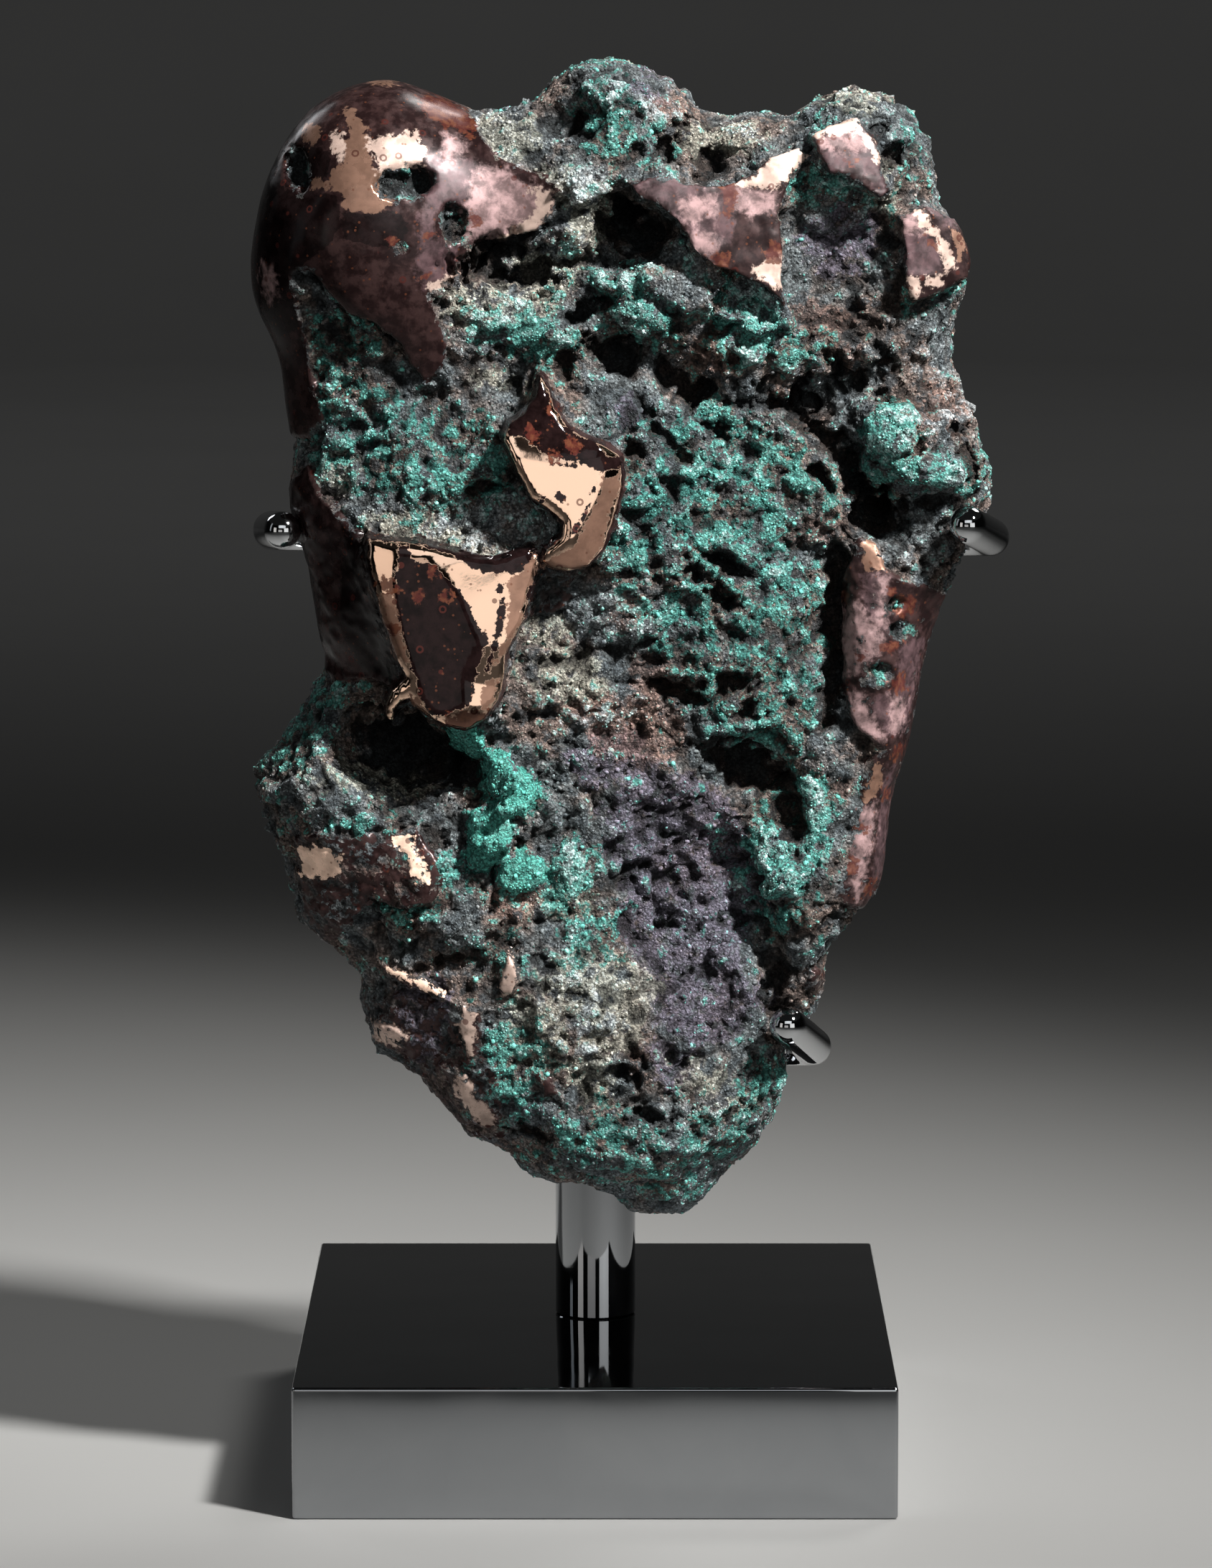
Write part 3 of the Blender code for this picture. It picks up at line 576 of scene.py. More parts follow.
# Colour fields of the crust: x, z, reach across, reach up, turn
crustColours = dict(
    teal=[
        (102.5, 296.5, 10, 9, 0), (101, 305, 9, 8.5, 0), (95, 282, 10.5, 9.5, 0),
        (-90, 354.5, 8.5, 7.8, 0), (-54.5, 340, 9, 8, 0), (-63.5, 425, 8.2, 7.6, 0),
        (-85, 392, 9, 23, -12), (-65, 358, 32, 18, -8), (-40, 352, 14, 13, 0), (-63, 446, 10, 6, 0),
        (-47, 432, 6, 8, 10), (-98, 450, 4, 7, 0), (-22, 395, 18, 10, -10), (4, 471, 12, 18, 0),
        (12, 458, 11, 7, 0), (5, 411, 14, 7, -20), (15, 400, 14, 10, -20), (41, 340, 36, 29, 0),
        (60, 301, 18, 41, 5), (29, 297, 14, 14, 0), (53, 270, 23, 17, 0), (96, 364, 14, 11, 20),
        (115, 349, 17, 8, 0), (97, 352, 12, 10, 0), (68, 236, 14, 14, 0), (63, 219, 16, 16, 0),
        (59, 203, 10, 11, 0), (-44, 258, 7, 8, 0), (-33, 249, 7, 7, 0), (-26, 243, 8, 8, 0),
        (-35, 231, 8, 8, 0), (-36, 224, 7, 6, 0), (-24, 215, 8, 6, 0), (-97, 268, 12, 10, 20),
        (-104, 254, 9, 6, 20), (-49, 217, 18, 8, 0), (-65, 203, 13, 6, 0), (-33, 186, 8, 7, 0),
        (-31, 148, 14, 19, 0), (-25, 135, 12, 8, 0), (41, 124, 20, 11, 0), (29, 108, 14, 7, 0),
        (8, 118, 22, 9, 0), (57, 140, 11, 11, 0), (2, 128, 14, 8, 0), (53, 398, 14, 11, -20),
        (68, 390, 10, 7, 0), (-8, 215, 10, 16, 0), (-3, 197, 10, 7, 0), (66, 446, 6, 5, 0),
        (80, 447, 8, 4, -10), (115, 410, 11, 6, 20), (36, 364, 29, 10, 0), (12, 325, 7, 14, 0),
        (-64, 372, 14, 7, -20), (74, 466, 5, 6, 0), (106, 458, 6, 10, 20), (-79, 231, 14, 6, 0),
        (-2, 187, 10, 6, 0), (17, 126, 12, 6, 0)],
    frost=[
        (118, 370, 10, 8, 0), (-31, 460, 18, 11, -10), (30, 128, 26, 9, 0), (-2, 172, 16, 22, 0), (5, 475, 15, 9, 0), (-10, 446, 12, 9, 0),
        (90, 470, 12, 6, -20), (106, 322, 11, 11, 0), (112, 390, 10, 14, 0), (-50, 335, 22, 6, -10)],
    plum=[
        (16, 480, 12, 8, -20), (32, 207, 25, 45, 4), (18, 231, 19, 22, 0), (38, 170, 23, 17, 0),
        (28, 151, 11, 11, 0), (80, 426, 14, 13, 0), (-58, 163, 12, 17, 10), (10, 373, 10, 10, 0),
        (3, 253, 17, 12, 0)],
    cream=[
        (-86, 351, 11, 11, 0), (-3, 179, 19, 14, 0), (-9, 204, 13, 7, 0), (5, 162, 12, 10, 0),
        (38, 145, 15, 7, -20), (49, 135, 15, 7, 0), (-79, 247, 30, 7, -8), (-9, 444, 18, 10, -10),
        (-31, 404, 23, 10, 0), (-55, 331, 30, 7, -10), (-31, 461, 19, 10, 0), (41, 461, 17, 6, 0),
        (-2, 435, 10, 14, 0), (-16, 416, 14, 10, 0), (86, 473, 17, 7, -10), (95, 447, 7, 10, 0),
        (12, 173, 10, 14, 0), (-33, 380, 14, 5, 0), (31, 354, 10, 5, 0), (-14, 299, 12, 7, 0),
        (-7, 282, 17, 10, 0), (-21, 161, 14, 14, 0), (0, 146, 10, 12, 0)],
    rust=[
        (10, 108, 12, 5, -10), (105, 366, 15, 11, 0), (74, 401, 14, 8, -20), (86, 388, 14, 7, -20),
        (12, 265, 24, 14, 0), (17, 282, 14, 10, 0), (5, 185, 11, 6, 0), (39, 132, 8, 5, 0),
        (27, 118, 10, 5, 0), (14, 148, 6, 7, 0), (-18, 372, 8, 11, 10), (62, 374, 7, 5, 0),
        (70, 329, 14, 10, 0), (61, 354, 14, 6, 0), (-79, 213, 23, 10, 0), (-65, 197, 12, 5, 0),
        (-53, 207, 8, 7, 0), (117, 371, 10, 10, 0), (-26, 207, 14, 7, 0), (75, 178, 5, 5, 0),
        (24, 471, 10, 6, 0), (84, 243, 6, 10, 0), (-83, 377, 6, 6, 0), (41, 388, 14, 7, 0),
        (51, 311, 10, 7, 0), (10, 301, 10, 10, 0)],
)
# Coloured films on the bare copper, each an outline over the one before; dark, rosy and pale are in part painted
# shade, painted dark reflection and painted highlights
copperPatches = dict(
    # dark: black-brown oxide film, and also painted shade on the left flank and the lobe's left side and a painted
    # dark reflection inside the shield and the flame
    dark=[
        [(-49.5, 327.5), (-40, 326), (-30.5, 325), (-21.5, 326), (-19.5, 320.5), (-23.5, 317), (-27.5, 317), (-30.5, 317.5), (-37, 319), (-42.5, 322)],
        [(-33, 315), (-30.5, 313), (-29.5, 305), (-30.5, 299), (-33, 291), (-35, 284.5), (-37.5, 284.5), (-34.5, 292), (-32.5, 300.5), (-32, 306.5), (-32.5, 311)],
        [(-29, 368.5), (-22.5, 376.5), (-18.5, 382.5), (-15, 376.5), (-14.5, 371.5), (-10, 366),
         (-6.5, 363.5), (0.5, 361), (4, 356.5), (9, 355.5), (8.5, 351.5), (0.5, 352), (-6.5, 354.5),
         (-12, 355.5), (-19.5, 359), (-24.5, 363), (-28.5, 363.5)],
        [(-65, 327), (-62, 327), (-60.5, 322), (-56.5, 321.5), (-52, 320), (-51, 317.5), (-47.5, 314.5),
         (-44.5, 311.5), (-41.5, 307.5), (-40, 303), (-37.5, 299), (-35.5, 295.5), (-36, 293.5),
         (-37.5, 290), (-38.5, 286.5), (-39, 283.5), (-40, 281), (-40.5, 275), (-43.5, 272.5),
         (-47.5, 271.5), (-50, 270.5), (-52.5, 269), (-56, 271.5), (-58, 277), (-60, 283.5), (-62, 289.5),
         (-64, 295.5), (-66, 301), (-66.5, 307.5), (-66.5, 317.5), (-65.5, 323)],
        [(-75.5, 330.5), (-66, 330.5), (-54, 328), (-45.5, 327), (-36, 323), (-28, 323), (-32, 318),
         (-36, 317.5), (-42.5, 320), (-48, 323.5), (-55, 326), (-61.5, 327.5), (-74.5, 328)],
        [(-82.5, 330.5), (-75.5, 329), (-73, 315.5), (-70, 300), (-67.5, 289.5), (-64, 285.5),
         (-68.5, 280), (-79.5, 283.5), (-85.5, 298), (-84.5, 317.5)],
        [(-32, 313.5), (-30.5, 308.5), (-30.5, 301), (-32, 295.5), (-34, 289.5), (-36, 284.5),
         (-37, 284.5), (-35, 290), (-33, 295.5), (-31.5, 301.5), (-31.5, 308.5)],
        [(0.5, 349.5), (1, 349.5), (-1, 340.5), (-4, 335), (-8.5, 328.5), (-9.5, 329.5), (-4.5, 336.5),
         (-1.5, 342)],
        [(-28, 361), (-27, 350.5), (-24.5, 343.5), (-20.5, 340.5), (-13, 336.5), (-10.5, 332.5),
         (-11, 330), (-16.5, 336), (-24.5, 339), (-28, 345), (-29, 355.5)],
        [(-13, 344.5), (-9, 344.5), (-10, 341), (-12.5, 343)],
        [(-18, 343.5), (-16, 343.5), (-16.5, 342), (-18, 342)],
        [(-15, 354.5), (-9, 354.5), (-4.5, 353), (-9, 352.5), (-14.5, 353.5)],
        [(-19.5, 318), (-11.5, 318), (-11, 307.5), (-18.5, 305), (-23.5, 303), (-23, 311.5)],
        [(-110.5, 456.5), (-107, 454.5), (-103, 443), (-93.5, 443), (-85, 442), (-83.5, 431.5), (-88, 426),
         (-97.5, 418.5), (-95.5, 399), (-105, 393.5), (-114.5, 401), (-114.5, 428)],
        [(-103, 456.5), (-93.5, 457.5), (-87.5, 456.5), (-88, 447), (-94.5, 446), (-103, 444)],
        [(-83.5, 437.5), (-74.5, 436), (-65, 437.5), (-61, 431.5), (-65, 424), (-74.5, 426), (-83, 428)],
    ],
    mauve=[
        [(-55, 453.5), (-49.5, 456.5), (-41, 453), (-38, 452), (-40, 445), (-41, 439.5), (-49.5, 439.5),
         (-53.5, 435.5), (-53, 428), (-46, 425), (-46, 418.5), (-49.5, 413), (-56.5, 411), (-59, 418.5),
         (-58, 432), (-55.5, 440.5)],
        [(11.5, 445.5), (23.5, 448), (34, 444.5), (40.5, 443), (44.5, 445.5), (47.5, 439), (44.5, 427.5),
         (39, 423.5), (31, 423.5), (30.5, 431.5), (21.5, 440.5)],
        [(74, 458), (93.5, 457), (96, 452), (96, 442.5), (94, 441.5), (91, 448.5), (84.5, 451),
         (77.5, 450), (75, 453)],
        [(109, 440.5), (116.5, 438), (120.5, 432), (118, 431.5), (114.5, 433), (111, 438)],
        [(102, 429.5), (110, 429.5), (115, 423.5), (115, 416), (107.5, 415), (102.5, 415), (101, 420)],
        [(101, 291.5), (107.5, 294.5), (110, 291.5), (107.5, 275.5), (104.5, 261), (98, 261), (93, 267.5),
         (91, 273), (100.5, 276), (102, 283.5)],
        [(90, 315.5), (97, 315.5), (98, 294.5), (91.5, 301), (89, 307.5)],
        [(97.5, 248.5), (100.5, 249.5), (99, 227), (96, 210.5), (93.5, 210.5), (94.5, 227)],
    ],
    # rosy: pink satin film, and on the brow, crown and cheek a painted highlight band near their upper edges
    rosy=[
        [(82.5, 305.5), (87.5, 306.5), (91.5, 301.5), (96, 295), (95.5, 290.5), (90, 284.5), (84, 280.5),
         (82.5, 295)],
        [(85, 273.5), (90, 276), (92.5, 268), (96.5, 259.5), (87.5, 262)],
        [(-38, 452), (-30.5, 450), (-25, 446.5), (-13.5, 442.5), (-14.5, 438), (-19, 431), (-25, 428.5),
         (-30.5, 427.5), (-38, 428.5), (-43, 426.5), (-44.5, 432), (-42, 438.5), (-41, 445.5)],
        [(-111, 418.5), (-107.5, 417.5), (-106, 409.5), (-108.5, 405.5), (-110.5, 412)],
        [(-50.5, 461), (-46.5, 461.5), (-42.5, 457.5), (-45.5, 453.5), (-50.5, 454)],
        [(26.5, 440), (39.5, 442.5), (40.5, 438), (34, 433), (30.5, 433.5)],
        [(44.5, 444.5), (52, 445), (59.5, 442.5), (59.5, 436), (52, 436), (45.5, 437)],
        [(31, 429), (38, 430.5), (41, 426.5), (38, 422), (32, 423.5)],
        [(73, 461.5), (88, 463.5), (91, 458), (83.5, 456), (75, 458)],
        [(100.5, 437), (107, 436), (110, 430.5), (102, 429.5)],
        [(94.5, 315), (98, 312.5), (97, 298), (94.5, 299.5)],
        [(99, 274), (103.5, 273), (103, 262.5), (99.5, 262.5)],
        [(88.5, 235), (94.5, 238), (93.5, 227), (91, 214), (88.5, 204), (86.5, 207.5), (86.5, 224.5)],
    ],
    tan=[
        [(-28, 315), (-23.5, 319), (-19.5, 323), (-18.5, 319), (-22.5, 311.5), (-24.5, 302.5), (-28, 293),
         (-32, 288), (-34.5, 285.5), (-30, 296), (-29, 302.5), (-29, 309.5)],
        [(-72, 310.5), (-66.5, 310.5), (-65, 301.5), (-62.5, 293), (-61.5, 287.5), (-64, 287.5),
         (-67, 289.5), (-69, 298), (-71, 304.5)],
        [(2.5, 349.5), (6, 348.5), (8.5, 352), (7.5, 343), (4, 334.5), (2.5, 326.5), (-3.5, 319),
         (-10, 318), (-18.5, 319), (-15, 323), (-10, 325.5), (-6.5, 326.5), (-2.5, 334.5), (0.5, 342)],
        [(-36.5, 281.5), (-32, 282.5), (-33, 277), (-36, 272), (-38.5, 271.5)],
        [(-62, 277.5), (-58, 275), (-54, 269), (-57, 268.5), (-61.5, 275)],
        [(-83, 469.5), (-81, 471), (-78, 467), (-75.5, 464.5), (-76, 461.5), (-74, 460), (-75, 456.5),
         (-73.5, 452.5), (-74, 450), (-70.5, 450), (-69.5, 447), (-70.5, 442.5), (-66.5, 440.5),
         (-67, 438.5), (-73.5, 436.5), (-79, 436.5), (-83, 437.5), (-84, 442.5), (-87.5, 444), (-87, 450),
         (-82, 453), (-83, 456.5), (-84, 459.5), (-80.5, 461.5), (-82.5, 466)],
        [(-96.5, 464.5), (-91.5, 464.5), (-90.5, 460.5), (-94.5, 457.5), (-97, 460.5)],
        [(-94, 447), (-87.5, 447), (-87.5, 443.5), (-93.5, 444)],
        [(-79, 479), (-70.5, 479.5), (-62.5, 478), (-69.5, 478), (-74, 477.5)],
        [(117.5, 431.5), (121.5, 427.5), (124, 423.5), (120.5, 419.5), (119, 425.5)],
        [(89, 325), (91, 327), (95.5, 326.5), (97, 317.5), (89.5, 317)],
        [(93.5, 251), (96.5, 251.5), (96.5, 245), (94.5, 239.5), (90.5, 237), (91.5, 243.5)],
    ],
    # pale: pale copper streaks, and painted highlights on the brow's upper edge, the crown, the cheek and the lobe's
    # right tip
    pale=[
        [(-29.5, 189), (-27, 184.5), (-25.5, 179.5), (-28, 174), (-31, 173.5), (-33, 176.5), (-31, 181)],
        [(-44.5, 168.5), (-40.5, 167.5), (-40.5, 160), (-42, 152.5), (-45, 157.5), (-46, 163.5)],
        [(-47, 146), (-43.5, 145), (-40, 137.5), (-35.5, 134), (-34, 128), (-38, 126), (-43.5, 134), (-46.5, 139)],
        [(-76, 162.5), (-69, 161.5), (-64, 158), (-66, 154), (-75, 156.5)],
        [(-75, 461), (-69.5, 462), (-66.5, 461.5), (-62.5, 462.5), (-59, 462), (-56.5, 456.5), (-57, 452),
         (-62, 452), (-68.5, 449.5), (-70.5, 450), (-72.5, 454), (-74, 456.5), (-75.5, 458.5)],
        [(-21, 444.5), (-13.5, 443), (-14, 437.5), (-18, 432), (-23, 429), (-31.5, 427.5), (-26, 431),
         (-20, 436), (-19, 440.5)],
        [(-87.5, 461.5), (-83.5, 463), (-82.5, 456.5), (-84, 454), (-86.5, 456.5)],
        [(-55.5, 413), (-49.5, 414), (-46, 417), (-45.5, 415.5), (-49.5, 412), (-54.5, 410.5)],
        [(46.5, 445.5), (50, 447), (56, 451), (59.5, 455), (65.5, 458), (68, 457.5), (72.5, 454.5),
         (71, 452), (65.5, 451), (64.5, 448.5), (61.5, 444.5), (56, 444), (52, 444.5)],
        [(52, 419), (56, 420), (62.5, 423.5), (63, 411), (59, 412.5), (56, 414), (53, 415)],
        [(71.5, 463), (78.5, 466.5), (86.5, 469), (88, 465), (85, 463), (78.5, 462), (73.5, 461)],
        [(88, 463.5), (92, 459.5), (95.5, 453), (94, 452.5), (90.5, 458)],
        [(106, 438), (110, 435), (114, 429.5), (118, 424.5), (119.5, 419), (116.5, 417.5), (115, 423.5),
         (111, 429.5), (106.5, 433.5)],
        [(101.5, 415), (107.5, 414.5), (106.5, 407.5), (104, 408.5), (105, 412)],
        [(110, 414.5), (116, 415), (114, 412), (109, 410.5)],
    ],
    bright=[
        [(-101.5, 222.5), (-97.5, 223.5), (-90, 223), (-85.5, 221), (-84.5, 215), (-90, 213), (-97.5, 211.5),
         (-99.5, 213), (-98, 217.5)],
        [(-67.5, 227), (-62, 229), (-60.5, 224.5), (-57, 218.5), (-55.5, 212.5), (-60, 212), (-62.5, 217),
         (-63.5, 221.5), (-66.5, 223.5)],
        [(-70.5, 181.5), (-64.5, 181), (-56, 177.5), (-51, 172.5), (-58, 175.5), (-66, 179)],
    ],
    stain=[
        [(-22, 367), (-18, 365), (-19, 360), (-23, 362)],
        [(-15, 374.5), (-12.5, 371), (-14.5, 367), (-16.5, 371)],
        [(-30.5, 355.5), (-27, 357), (-25.5, 353), (-29, 352)],
        [(-9, 362.5), (-4, 360.5), (-6.5, 356.5), (-10.5, 359)],
        [(-14, 359), (-10.5, 357), (-12, 354), (-15, 355.5)],
        [(-50, 269), (-47.5, 271), (-42.5, 272), (-36, 271.5), (-34, 273), (-35, 269), (-40.5, 265.5),
         (-47.5, 264.5), (-50, 266.5)],
        [(-72.5, 315), (-69, 316), (-65, 314.5), (-65, 312), (-68, 310.5), (-72, 312)],
        [(-56.5, 319.5), (-53, 320.5), (-51.5, 317), (-55, 315.5)],
        [(-52, 310.5), (-48.5, 311.5), (-47, 310.5), (-49, 308.5), (-51.5, 308.5)],
        [(-60.5, 311), (-58, 311.5), (-57, 309), (-59, 308)],
        [(-69.5, 300), (-66, 300), (-65, 297.5), (-67.5, 295.5), (-69, 297)],
        [(-73, 337), (-69, 338), (-69.5, 332.5), (-73, 331.5)],
        [(-60, 473.5), (-51.5, 473.5), (-44, 469), (-38, 464), (-41, 460.5), (-49.5, 464), (-57, 469)],
        [(-68.5, 428), (-65, 428.5), (-64.5, 425), (-68, 425)],
        [(-56, 429.5), (-53, 429.5), (-53, 428), (-56, 428)],
        [(-57.5, 416), (-54.5, 416.5), (-55, 414), (-57.5, 414.5)],
        [(-42, 436.5), (-37, 435.5), (-38, 432), (-41.5, 432.5)],
        [(41.5, 445.5), (45.5, 446), (47.5, 442.5), (44.5, 433), (42.5, 435)],
        [(56, 425.5), (61.5, 426.5), (62, 420), (57.5, 420)],
        [(38, 422), (44.5, 423.5), (44.5, 418), (40.5, 419)],
        [(84, 453.5), (86.5, 453.5), (86.5, 450.5), (84, 451)],
        [(110, 428), (113.5, 427.5), (113, 424.5), (110, 425)],
        [(98, 311.5), (101, 310.5), (100, 307.5), (97.5, 308.5)],
        [(101, 307.5), (106.5, 307.5), (108, 303.5), (103.5, 301), (100, 304.5)],
        [(94.5, 291.5), (99.5, 293), (103.5, 292.5), (101, 290), (95.5, 290)],
        [(98.5, 280), (103.5, 282), (105, 276), (100.5, 275.5)],
        [(83, 309), (85.5, 308.5), (85, 304.5), (82.5, 305)],
        [(86.5, 289), (90.5, 290), (91, 286.5), (87.5, 286)],
        [(96.5, 242), (99.5, 242), (99.5, 238), (96.5, 238)],
        [(87, 232.5), (92, 230), (91, 227), (88, 227.5)],
        [(84.5, 220.5), (88.5, 219), (88.5, 213), (85.5, 214)],
        [(92, 211.5), (95, 211.5), (94.5, 206.5), (91, 206)],
        [(99.5, 256), (104.5, 257), (103.5, 253), (100.5, 252)],
    ],
)
# Long narrow clefts in the front crust: half width, depth and line
clefts = [
    (3.0, 7.0, [(65, 372.5), (72.5, 366.5), (78.5, 360.5), (83, 353.5), (89, 343.5), (95, 333)]),
    (2.6, 6.0, [(80, 320.5), (80.5, 307), (81, 290), (79.5, 275.5), (78, 263.5)]),
    (1.8, 4.5, [(38.5, 322), (44, 319), (51.5, 315)]), (1.6, 4.0, [(36.5, 310), (41, 308), (45, 305.5)]),
    (1.5, 3.5, [(30.5, 317.5), (37.5, 312.5)]), (2.4, 5.0, [(74, 350), (79, 345)]),
    (1.5, 3.5, [(16, 372.5), (19.5, 366.5), (26.5, 360.5), (31.5, 353.5)]),
    (1.5, 3.0, [(18.5, 353.5), (23, 347), (28, 341.5)]), (1.4, 3.0, [(43.5, 373), (55.5, 374), (65, 372.5)]),
    (1.4, 3.0, [(17, 331), (20, 323.5), (18.5, 315.5)]),
    (1.2, 2.2, [(-22.5, 285), (-9.5, 287), (5, 290), (17, 293.5)]),
    (1.2, 2.2, [(-26, 267), (-9.5, 270.5), (5, 269.5)]), (1.1, 1.8, [(-16.5, 278), (0.5, 279.5), (12.5, 279)]),
]


# The CAD nugget as one smooth mesh of even quads
def evenNugget():
    bm = bmesh.new()
    bm.from_mesh(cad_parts["copper_nugget"].data)
    bmesh.ops.remove_doubles(bm, verts=bm.verts, dist=0.00001)
    body = meshObject("nuggetBody", bm)
    remesh = body.modifiers.new("even", "REMESH")
    remesh.mode = "VOXEL"
    remesh.voxel_size = nugget["voxel"] * mm
    return applyModifiers(body)


def smoothed(bm, verts, times):
    for step in range(times):
        bmesh.ops.smooth_vert(bm, verts=verts, factor=0.5, use_axis_x=True, use_axis_y=True, use_axis_z=True)


def splitFaces(bm, faces):
    edges = list({edge for face in faces for edge in face.edges})
    bmesh.ops.subdivide_edges(bm, edges=edges, cuts=1, use_grid_fill=True)


# 0 on the back half of the nugget and 1 on its front
def frontShare(y):
    return smoothStep(0.0, 14.0, nugget["middle"] - y)


# Millimetres inside bare copper, negative where the crust covers it
def bareField(x, y, z):
    field = np.full(len(x), -60.0)
    for name, outline in bareOutlines.items():
        inside = insideBy(x, z, outline)
        if name != "lobe":
            inside = np.where(y < nugget["middle"] + 10, inside, -60.0)
        inside = np.minimum(inside, brokenOutlines.get(name, 60.0))
        field = np.maximum(field, inside)
    for face in mirrorFaces.values():
        inside = insideBy(x, z, face["outline"]) + (nugget["collar"] if face["polish"] == "mirror" else -0.3)
        field = np.maximum(field, np.where(y < nugget["middle"], inside, -60.0))
    for place in crustedPits + flecks:
        field = np.minimum(field, (ovalRadius(x, z, place) - 1.0) * min(place[2:4]))
    return field


def mirrorField(x, z):
    bright = [insideBy(x, z, face["outline"]) for face in mirrorFaces.values() if face["polish"] == "mirror"]
    return np.max(bright, axis=0)


# The y of a mirror face's own surface at every place
def faceSurface(face, x, z):
    middleX, middleZ = face["middle"]
    plane = face["level"] + face["slopeX"] * (x - middleX) + face["slopeZ"] * (z - middleZ)
    outside = np.maximum(-insideBy(x, z, face["inner"]), 0.0)
    edge = 1.0 - smoothStep(0.0, 2.2, insideBy(x, z, face["outline"]))
    return plane + face["fall"] * (np.sqrt(outside ** 2 + 1.0) - 1.0) + 0.7 * edge ** 2


# Millimetres inside the smooth green blobs, the highest knobs
def blobField(x, z):
    return np.max([(1.0 - ovalRadius(x, z, place)) * min(place[2:4]) for *place, swell in blobs], axis=0)


# Crust relief all round, then the front's own pits, knobs, clefts and ground faces
def sculptBody(points, normals, bare):
    x, y, z = points.T
    front = frontShare(y)
    crust = 1.0 - smoothStep(-1.5, 1.0, bare)
    lobe = smoothStep(-6.0, 2.0, insideBy(x, z, bareOutlines["lobe"]))
    broad = noiseField(points, 32.0, 1)
    warp = np.stack([noiseField(points, 9.0, seed, 3) for seed in (2, 3, 4)], axis=1)
    big = blockField(points + 4.0 * warp, 15.0, 5, 1.35)
    small = blockField(points + 2.0 * warp, 5.5, 6)
    ragged = noiseField(points, 5.0, 8, 4)
    calm = smoothStep(-0.25, 0.3, noiseField(points, 42.0, 10, 2))
    crack = np.exp(-(noiseField(points, 24.0, 9, 3) / 0.035) ** 2)
    knob = np.max([1.0 - smoothStep(0.7, 1.1, ovalRadius(x, z, place)) for *place, swell in knobs], axis=0) * front
    pocket = smoothStep(0.26, 0.50, noiseField(points, 7.5, 11, 4)) * (1.0 - 0.4 * calm)
    plum = smoothStep(-2.0, 8.0, ovalField(x, z, crustColours["plum"])) * front
    porous = smoothStep(0.1, 0.45, noiseField(points, 4.5, 12, 2)) * plum
    fine = (1.2 - 0.3 * calm) * small + 1.3 * ragged - 1.6 * crack * (1.0 - 0.5 * calm) - 1.5 * pocket - 0.7 * porous
    blob = smoothStep(-0.5, 1.0, blobField(x, z)) * front
    fine = fine * (1.0 - 0.35 * smoothStep(150.0, 120.0, z)) * (1.0 - 0.5 * knob) * (1.0 - 0.7 * blob)
    height = 1.6 * broad + (2.4 - 1.1 * calm) * (1.0 - 0.7 * blob) * big + fine - nugget["inward"]
    metal = 0.3 * broad + (1.0 - lobe) * 0.5 * ragged
    moved = points + normals * (crust * height + (1.0 - crust) * metal)[:, None]

    rise = np.zeros(len(x))
    for place in pits:
        depth = 1.4 * min(place[2], place[3])
        rise -= depth * (1.0 - smoothStep(0.4, 1.1, ovalRadius(x, z, place) + 1.1 * ragged))
    for place in crustedPits:
        rise -= 0.5 * min(place[2], place[3]) * (1.0 - smoothStep(0.5, 1.1, ovalRadius(x, z, place) + 0.4 * ragged))
    for place in caves:
        rise -= 8.0 * (1.0 - smoothStep(0.4, 1.0, ovalRadius(x, z, place) + 0.4 * ragged))
    for width, depth, line in clefts:
        away = lineDistance(x, z, line, closed=False) + 2.6 * ragged
        rise -= depth * (1.0 - smoothStep(0.4 * width, 1.3 * width, away))
    for *place, swell in knobs:
        radius = np.clip(ovalRadius(x, z, place) + 0.35 * ragged, 0.0, 1.0)
        rise += 1.25 * swell * (1.0 - radius ** 5) ** 0.5
    moved[:, 1] -= front * rise
    high = np.clip(0.5 + (fine + 0.6 * big + np.clip(rise, -6.0, 1.2) * front) / 4.4, 0.0, 1.0)

    for face in mirrorFaces.values():
        surface = faceSurface(face, x, z)
        ledge = nugget["ledge"]
        if face["polish"] == "satin":
            surface = surface + 0.5 * ragged
            ledge = 3.0
        share = smoothStep(-ledge, 0.25 * ledge, insideBy(x, z, face["outline"])) * front
        moved[:, 1] += share * (surface - moved[:, 1])
    return moved, high


def storeFields(mesh, fields):
    for name, values in fields.items():
        layer = mesh.attributes.new(name, "FLOAT", "POINT")
        layer.data.foreach_set("value", np.asarray(values, dtype=np.float32))


# Distance fields of every colour, front and back
def colourFields(points):
    x, y, z = points.T
    front = frontShare(y - 8.0) > 0.5
    fields = {}
    for seed, (name, ovals) in enumerate(crustColours.items()):
        behind = 16.0 * noiseField(points, 55.0, 20 + seed) - 4.0
        fields[name] = np.where(front, ovalField(x, z, ovals), behind)
    for name, outlines in copperPatches.items():
        inside = np.max([insideBy(x, z, outline) for outline in outlines], axis=0)
        fields[name] = np.where(front, inside, -30.0)
    fields["mirror"] = np.where(front, mirrorField(x, z), -30.0)
    satin = [insideBy(x, z, face["outline"]) for face in mirrorFaces.values() if face["polish"] == "satin"]
    satin.append(insideBy(x, z, bareOutlines["blade"]))
    fields["satin"] = np.where(front, np.max(satin, axis=0), -30.0)
    fields["blob"] = np.where(front, blobField(x, z), -30.0)
    return fields


